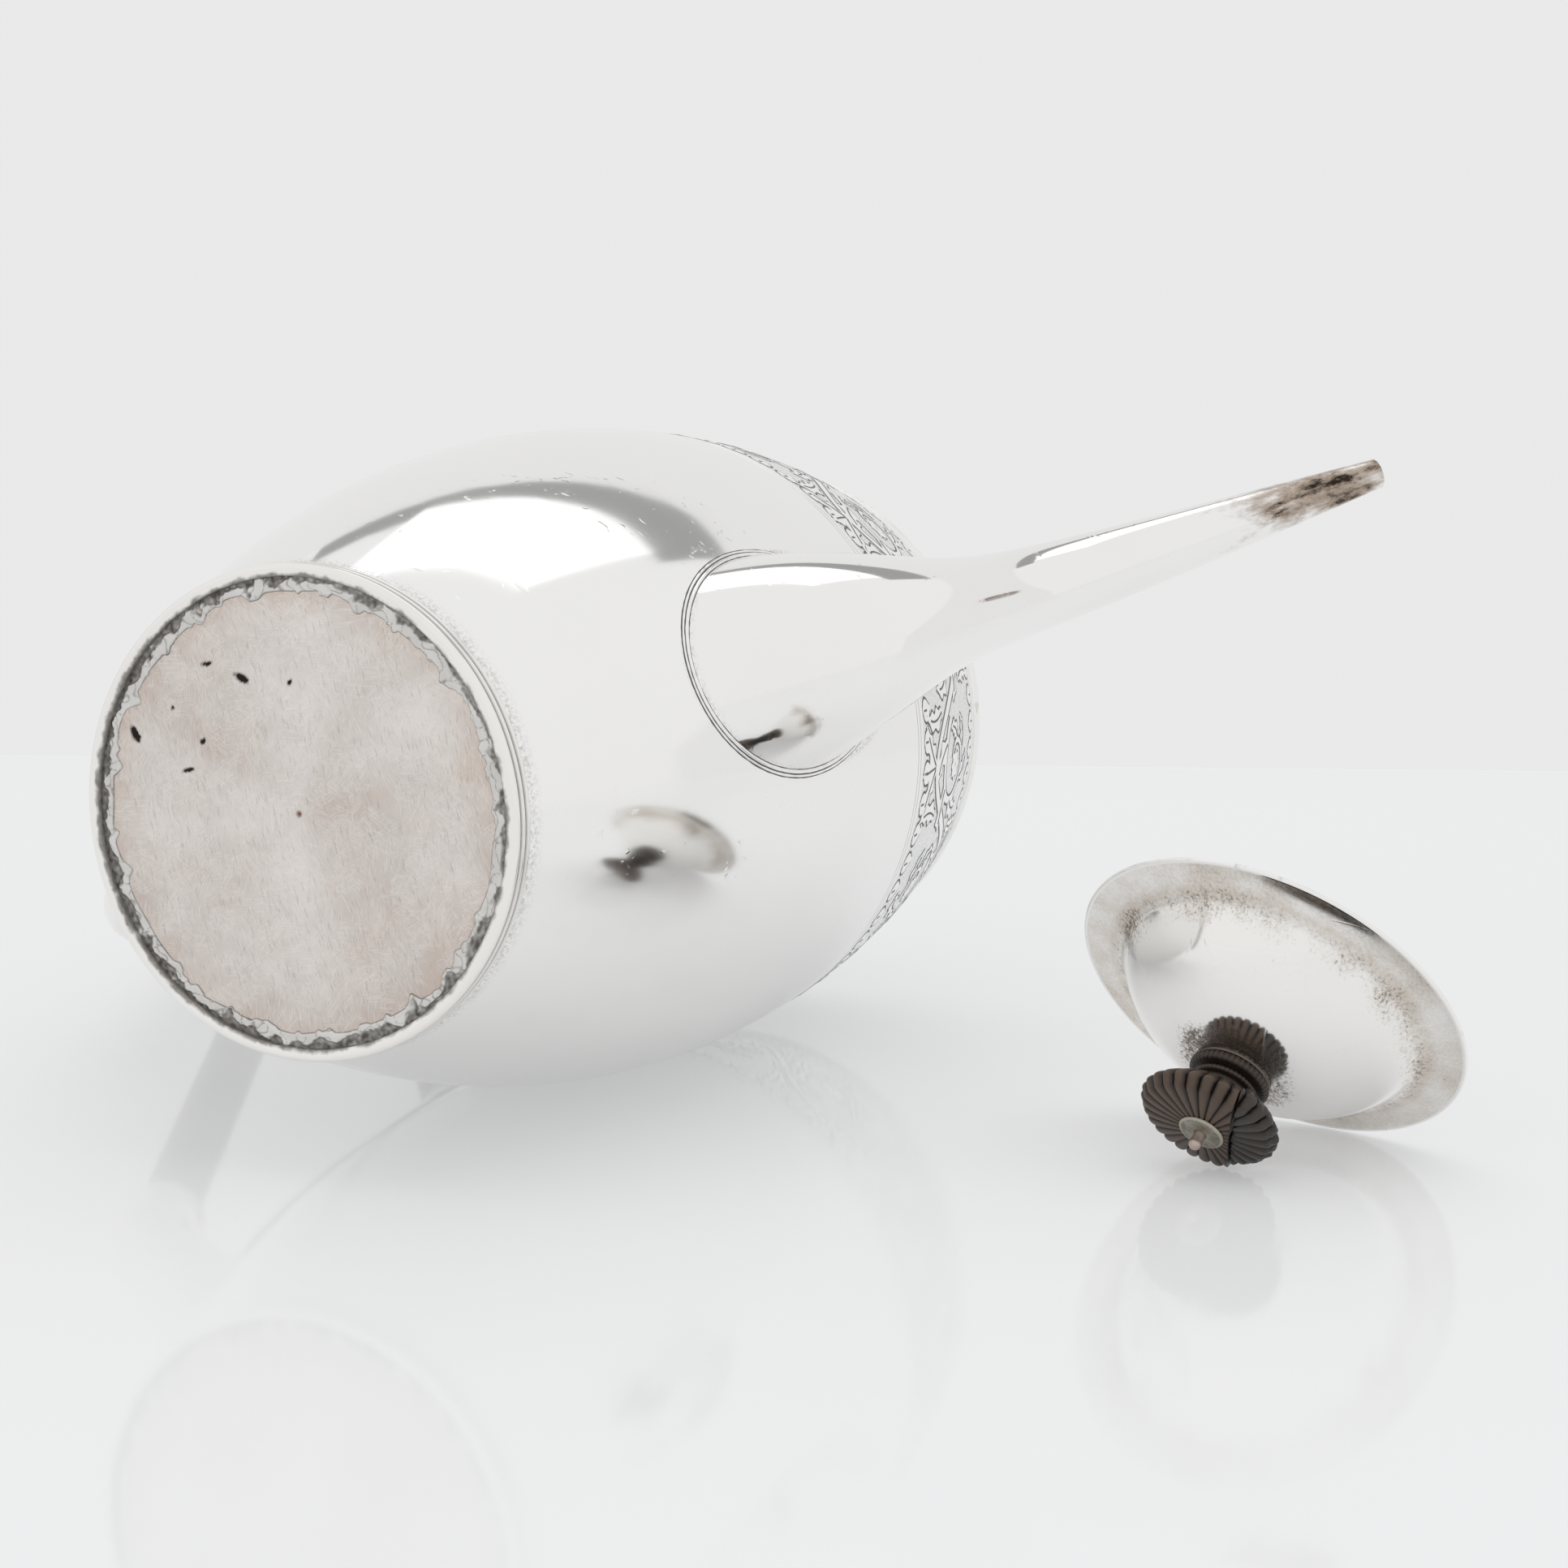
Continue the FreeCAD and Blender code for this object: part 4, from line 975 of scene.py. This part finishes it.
piece("lidDome", [turned(lidProfile(), 240)], "lid", lidSilver(), ["lid_shell"])
bezelIn, bezelOut, bezelLow = lid["bezelInner"], lid["bezelOuter"], lid["bezelLow"]
bezelProfile = [(bezelIn, bezelLow + 0.2), (bezelIn + 0.2, bezelLow), (bezelOut - 0.2, bezelLow),
                (bezelOut, bezelLow + 0.25), (bezelOut, lid["rim"]), (bezelIn, lid["rim"])]
piece("lidBezel", [turned(bezelProfile)], "lid", trimFinish, ["lid_bezel"])
rimProfile = [(lid["brim"], lid["rim"] + lid["edge"]), (lid["brim"], lid["rim"])]
rimProfile += reedRun(lid["wireMiddle"], lid["rim"], lid["edge"], 1, 12)
piece("lidRimWire", [turned(rimProfile, 240)], "lid", trimFinish, ["lid_rim_wire"], 50)
seatTop = lid["crown"] + lid["seatThick"]
seatProfile = [(lid["pinHole"], lid["crown"]), (lid["seat"], lid["crown"]),
               (lid["seat"] + 0.05, seatTop - 0.3), (lid["seat"] - 0.1, seatTop), (lid["pinHole"], seatTop)]
seatFinish = plainSilver("seatSilver", 0.8, 0.3, tones=((0.2, 0.165, 0.14), (0.09, 0.075, 0.064)))
piece("finialSeat", [turned(seatProfile, 120)], "lid", seatFinish, ["finial_seat"])
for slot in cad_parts["finial_nut"].material_slots:
    slot.material = plainSilver("nutSilver", 0.5, 0.12, False)
print("lid")

# finial
finial = {"collar": 7.0, "collarHeight": 5.2, "knob": 13.6, "knobHeight": 8.6, "lobes": 28, "depth": 0.11,
          "flutes": 46, "turns": 368, "hole": lid["pinHole"], "breakOffset": 5.4, "breakTurn": 68.0,
          "slip": 0.9, "crack": 0.16, "ragged": 0.28, "seed": 4.0, "washer": 0.7, "pin": 1.2, "pinOut": 3.4,
          "pinLow": 22.6,
          "rings": ((0.47, 0.0), (0.70, 0.18), (0.92, 0.45), (1.0, 0.64), (0.93, 0.81), (0.66, 0.95),
                    (0.34, 1.0))}
collarTop = seatTop + finial["collarHeight"]
knobTop = collarTop + finial["knobHeight"]


def carvedWood(name, dark, light, gloss):
    paint = Paint(name)
    ridge = paint.mark("ridge")
    grain = paint.cloud(420, 5.0, 0.65, (1.0, 1.0, 0.3))
    worn = paint.cloud(130, 4.0)
    speck = paint.cloud(1100, 4.0, 0.7)
    tone = paint.mix(grain, dark, (dark[0] * 2.6, dark[1] * 2.3, dark[2] * 2.0))
    # crests and the collar's outer rings lighter: worn wood with a painted highlight
    tone = paint.mix(ridge.step(0.66, 1.0) * (worn * 0.8 + 0.2), tone, light)
    # flutes, grooves and the pin hole darkened near black: painted shade
    tone = paint.mix((1 - ridge.step(0.1, 0.6)) * 0.9, tone, (0.006, 0.0045, 0.0035))
    tone = paint.mix(speck.step(0.7, 0.78) * 0.4, tone, (0.12, 0.08, 0.05))
    shine = worn * 0.22 - ridge * 0.08 + speck * 0.1 + gloss
    return paint.finish(Base_Color=tone, Roughness=shine, Coat_Weight=0.1,
                        Normal=paint.bump(grain * 0.6 + speck * 0.4, 0.35, 0.0003))


woodDark = carvedWood("knobWood", (0.013, 0.008, 0.0055), (0.13, 0.08, 0.048), 0.36)
woodBroken = carvedWood("fragmentWood", (0.008, 0.006, 0.0045), (0.05, 0.036, 0.025), 0.3)


def collarPart():
    low, hole = seatTop, finial["hole"]
    span = finial["collarHeight"]
    swell = span * 0.2
    # broad ring, groove, bead, neck
    profile = [(hole, low), (6.6, low)]
    profile += halfRound(finial["collar"] - 0.1, low + swell, swell * 0.95, swell, 12)
    profile += [(6.0, low + span * 0.42), (5.75, low + span * 0.455)]
    profile += halfRound(5.85, low + span * 0.575, 0.62, span * 0.115, 10)
    profile += [(5.35, low + span * 0.73), (5.2, low + span * 0.8), (5.3, collarTop), (hole, collarTop)]
    count = len(profile)
    flutes = np.cos(circle(finial["turns"]) * finial["flutes"])

    def wobble(angles, row):
        cutHere = 0.012 if 2 <= row <= 14 else 0.004
        return 1 + (cutHere if 1 < row < count - 1 else 0) * flutes

    points, faces, marks = turned(profile, finial["turns"], True, False, wobble)
    # painted highlight on the outer faces of the broad ring and bead, painted shade on the other rows
    lights = [0.85 if 5 <= row <= 12 or 19 <= row <= 26 else 0.4 for row in range(count)]
    return points, faces, {"ridge": np.outer(lights, 0.8 + 0.2 * flutes).ravel()}


def knobPart():
    shares = splineThrough([ring[1] for ring in finial["rings"]], [ring[0] for ring in finial["rings"]])
    levels = np.linspace(0, 1, 44)
    turns = finial["lobes"] * 20
    angles = circle(turns)
    spots = (angles * finial["lobes"] / (2 * math.pi)) % 1.0 * 2 - 1
    # rib is 1 on the crests and low in the flutes: the wood finish paints highlight and shade from it
    rib = np.sqrt(np.clip(1 - 0.96 * spots ** 2, 0, 1))
    rows, ridge = [], []
    for level in levels:
        reach = min(shares(level), 1.0) * finial["knob"]
        deep = finial["depth"] * (0.45 + 0.55 * min(1.0, level / 0.5))
        out = reach * (1 - deep * (1 - rib))
        sunk = 0.55 * (1 - rib) * max(0.0, (level - 0.7) / 0.3)
        fade = math.sin(math.pi * min(1.0, (1 - level) * 4 + 0.35) / 2)
        rows.append(ringAt(out, angles, collarTop + finial["knobHeight"] * level - sunk * fade))
        ridge.append(rib)
    # the pin hole's faces get no rib, so the painted shade covers them
    for height in (knobTop, collarTop):
        rows.append(ringAt(finial["hole"], angles, height))
        ridge.append(0 * rib)
    grid = np.array(rows)
    return grid.reshape(-1, 3), ringFaces(len(grid), turns, True), {"ridge": np.concatenate(ridge)}


def keepSide(work, beyond):
    # cut along the old break, then roughen and lower the part beyond it
    turn = math.radians(finial["breakTurn"])
    way = Vector((math.cos(turn), math.sin(turn), 0))
    spot = way * (finial["breakOffset"] + (finial["crack"] if beyond else -finial["crack"])) * mm
    everything = work.verts[:] + work.edges[:] + work.faces[:]
    bmesh.ops.bisect_plane(work, geom=everything, dist=1e-7, plane_co=spot, plane_no=way,
                           clear_outer=not beyond, clear_inner=beyond)
    edges = [edge for edge in work.edges if edge.is_boundary]
    filled = bmesh.ops.holes_fill(work, edges=edges, sides=0)["faces"]
    bmesh.ops.triangulate(work, faces=filled)
    for vert in work.verts if beyond else ():
        place = vert.co / mm
        uneven = rough(place, 0.9, finial["seed"]) + 0.5 * rough(place, 2.3, finial["seed"] + 2)
        vert.co += Vector((place.x, place.y, 0)).normalized() * (finial["ragged"] * uneven) * mm
        vert.co.z -= finial["slip"] * mm


piece("finialCollar", [collarPart()], "lid", woodDark, ["finial_collar"], 60)
piece("finialKnob", [knobPart()], "lid", woodDark, ["finial_knob"], 70,
      lambda work: keepSide(work, False))
piece("finialFragment", [knobPart()], "lid", woodBroken, ["finial_fragment"], 70,
      lambda work: keepSide(work, True))


def washerFinish():
    paint = Paint("washerMetal")
    patina = paint.cloud(420, 5.0, 0.65)
    fine = paint.cloud(1400, 4.0, 0.7)
    tone = paint.mix(patina.step(0.35, 0.68), (0.2, 0.19, 0.15), (0.4, 0.38, 0.32))
    tone = paint.mix(paint.reach().step(0.0037, 0.0042) * 0.7, tone, (0.55, 0.52, 0.44))
    tone = paint.mix(fine.step(0.62, 0.74) * 0.7, tone, (0.3, 0.15, 0.06))
    return paint.metal(tone, patina * 0.3 + 0.28, paint.bump(fine, 0.3, 0.0002), 0.85)


washerTop = knobTop + finial["washer"]
washerProfile = [(finial["hole"], knobTop), (4.4, knobTop), (4.45, knobTop + 0.2), (4.3, knobTop + 0.42),
                 (3.7, knobTop + 0.56), (2.6, knobTop + 0.66), (finial["hole"], washerTop)]
washerRing = turned(washerProfile, 96)
piece("finialWasher", [washerRing], "lid", washerFinish(), ["finial_washer"], 50)
pin, pinTop = finial["pin"], washerTop + finial["pinOut"]
pinProfile = [(0.04, finial["pinLow"]), (pin, finial["pinLow"]), (pin, washerTop),
              (pin - 0.1, washerTop + 0.4), (pin, pinTop - 1.5)]
pinProfile += [(pin * math.cos(angle), pinTop - pin + pin * math.sin(angle))
               for angle in np.linspace(0.05, 1.53, 9)]
pinFinish = plainSilver("pinSilver", 0.6, 0.3, tones=((0.62, 0.51, 0.46), (0.42, 0.34, 0.3)))
piece("finialPin", [turned(pinProfile, 40, False, True)], "lid", pinFinish, ["finial_pin"], 50)
print("finial")

# studio: pale glossy floor, backdrop, soft box with a dim gap below it, two soft lamps
# panels: name, bearing, rise, distance, width, height, strength; lamps: name, place, width, power
studio = {"floor": (0.84, 0.845, 0.85), "floorLevel": -0.0002, "wide": 9, "pale": 0.87, "paleShare": 0.38,
          "backdrop": 0.82, "backdropTall": 0.62, "world": 0.88, "horizon": 7.0, "lens": 67.68, "lean": 0.60,
          "panels": (("softBox", 6, 55, 1.2, 0.86, 0.4, 1.2), ("dimGap", 12, 42.5, 1.26, 1.25, 0.22, 0.36)),
          "lamps": (("topLight", (-0.1, -0.3, 1.5), 1.6, 4.0), ("sideLight", (-1.2, 0.5, 0.8), 0.9, 1.0))}


def plainPlane(name, place, wide, tall, material):
    mesh = bpy.data.meshes.new(name)
    corners = [(x * wide / 2, y * tall / 2, 0) for x, y in ((-1, -1), (1, -1), (1, 1), (-1, 1))]
    mesh.from_pydata(corners, [], [(0, 1, 2, 3)])
    made = added(name, mesh)
    mesh.materials.append(material)
    made.matrix_world = place
    return made


def glow(name, strength):
    # shines from its front and can't be seen from behind
    paint = Paint(name, False)
    paint.finish(Base_Color=(0, 0, 0), Roughness=1.0, Specular_IOR_Level=0.0,
                 Emission_Color=(1, 1, 1), Emission_Strength=strength)
    behind = paint.node("ShaderNodeNewGeometry", {}, {}, out="Backfacing")
    paint.blend(behind, paint.node("ShaderNodeBsdfTransparent"))
    return paint.material


def facing(spot, target, front="Z"):
    look = Vector(target) - Vector(spot)
    return Matrix.Translation(spot) @ look.to_track_quat(front, "Y").to_matrix().to_4x4()


def mirroredOnly(made, camera=False):
    # seen in the silver and the floor, and by the camera where it says so
    made.visible_camera = camera
    made.visible_diffuse = False
    made.visible_shadow = False


floorPaint = Paint("studioFloor", False)
shade = floorPaint.cloud(3, 2.0)
floorTone = floorPaint.mix(shade, studio["floor"], [part * 0.985 for part in studio["floor"]])
floorPaint.finish(Base_Color=floorTone, Roughness=0.07, IOR=1.45)
seen = floorPaint.node("ShaderNodeLightPath", {}, {}, out="Is Camera Ray")
mirrored = floorPaint.node("ShaderNodeLightPath", {}, {}, out="Is Glossy Ray")
paleFeeds = {"Color": (0.985, 0.99, 1.0), "Strength": studio["pale"]}
pale = floorPaint.node("ShaderNodeEmission", {}, paleFeeds)
floorPaint.blend(seen.most(mirrored) * studio["paleShare"], pale)
floorPlace = Matrix.Translation((0, 0, studio["floorLevel"]))
plainPlane("studioFloor", floorPlace, studio["wide"], studio["wide"], floorPaint.material)

viewPlace = Vector((-0.5728, -0.2686, 0.1422))
viewWay = Vector((0.9110, 0.3916, -0.1288)).normalized()
level = Vector((viewWay.x, viewWay.y, 0)).normalized()
backSpot = viewPlace + level * (viewPlace.z / math.tan(math.radians(studio["horizon"])))
half = studio["backdropTall"] / 2
backdropPlace = facing((backSpot.x, backSpot.y, half), (backSpot.x - level.x, backSpot.y - level.y, half))
backdropGlow = glow("studioBackdrop", studio["backdrop"])
backdrop = plainPlane("studioBackdrop", backdropPlace, studio["wide"], studio["backdropTall"], backdropGlow)
mirroredOnly(backdrop, True)

heart = Vector((-0.09, -0.005, 0.118))


def aloft(bearing, rise, away):
    bearing, rise = math.radians(bearing), math.radians(rise)
    flat = math.cos(rise)
    return heart + Vector((flat * math.cos(bearing), flat * math.sin(bearing), math.sin(rise))) * away


# soft box overhead and the dim gap between it and the backdrop, seen only as reflections
for name, bearing, rise, away, wide, tall, strength in studio["panels"]:
    place = facing(aloft(bearing, rise, away), heart)
    mirroredOnly(plainPlane(name, place, wide, tall, glow(name, strength)))

for name, spot, wide, power in studio["lamps"]:
    lamp = bpy.data.lights.new(name, "AREA")
    lamp.shape = "RECTANGLE"
    lamp.size = wide
    lamp.size_y = wide
    lamp.energy = power
    made = added(name, lamp)
    made.matrix_world = facing(spot, heart, "-Z")
    made.visible_glossy = False

world = bpy.data.worlds.new("studioWorld")
bpy.context.scene.world = world
world.use_nodes = True
world.node_tree.nodes["Background"].inputs[0].default_value = (1.0, 1.0, 1.0, 1.0)
world.node_tree.nodes["Background"].inputs[1].default_value = studio["world"]

camera = added("photoCamera", bpy.data.cameras.new("photoCamera"))
camera.data.lens = studio["lens"]
camera.data.sensor_width = 36.0
camera.data.clip_start = 0.01
viewRight = viewWay.cross(Vector((0, 0, 1))).normalized()
viewUp = viewRight.cross(viewWay)
lean = math.radians(studio["lean"])
imageRight = viewRight * math.cos(lean) + viewUp * math.sin(lean)
imageUp = viewUp * math.cos(lean) - viewRight * math.sin(lean)
viewTurn = Matrix((imageRight, imageUp, -viewWay)).transposed()
camera.matrix_world = Matrix.Translation(viewPlace) @ viewTurn.to_4x4()
bpy.context.scene.camera = camera
bpy.context.scene.view_settings.view_transform = "Standard"
print("studio")
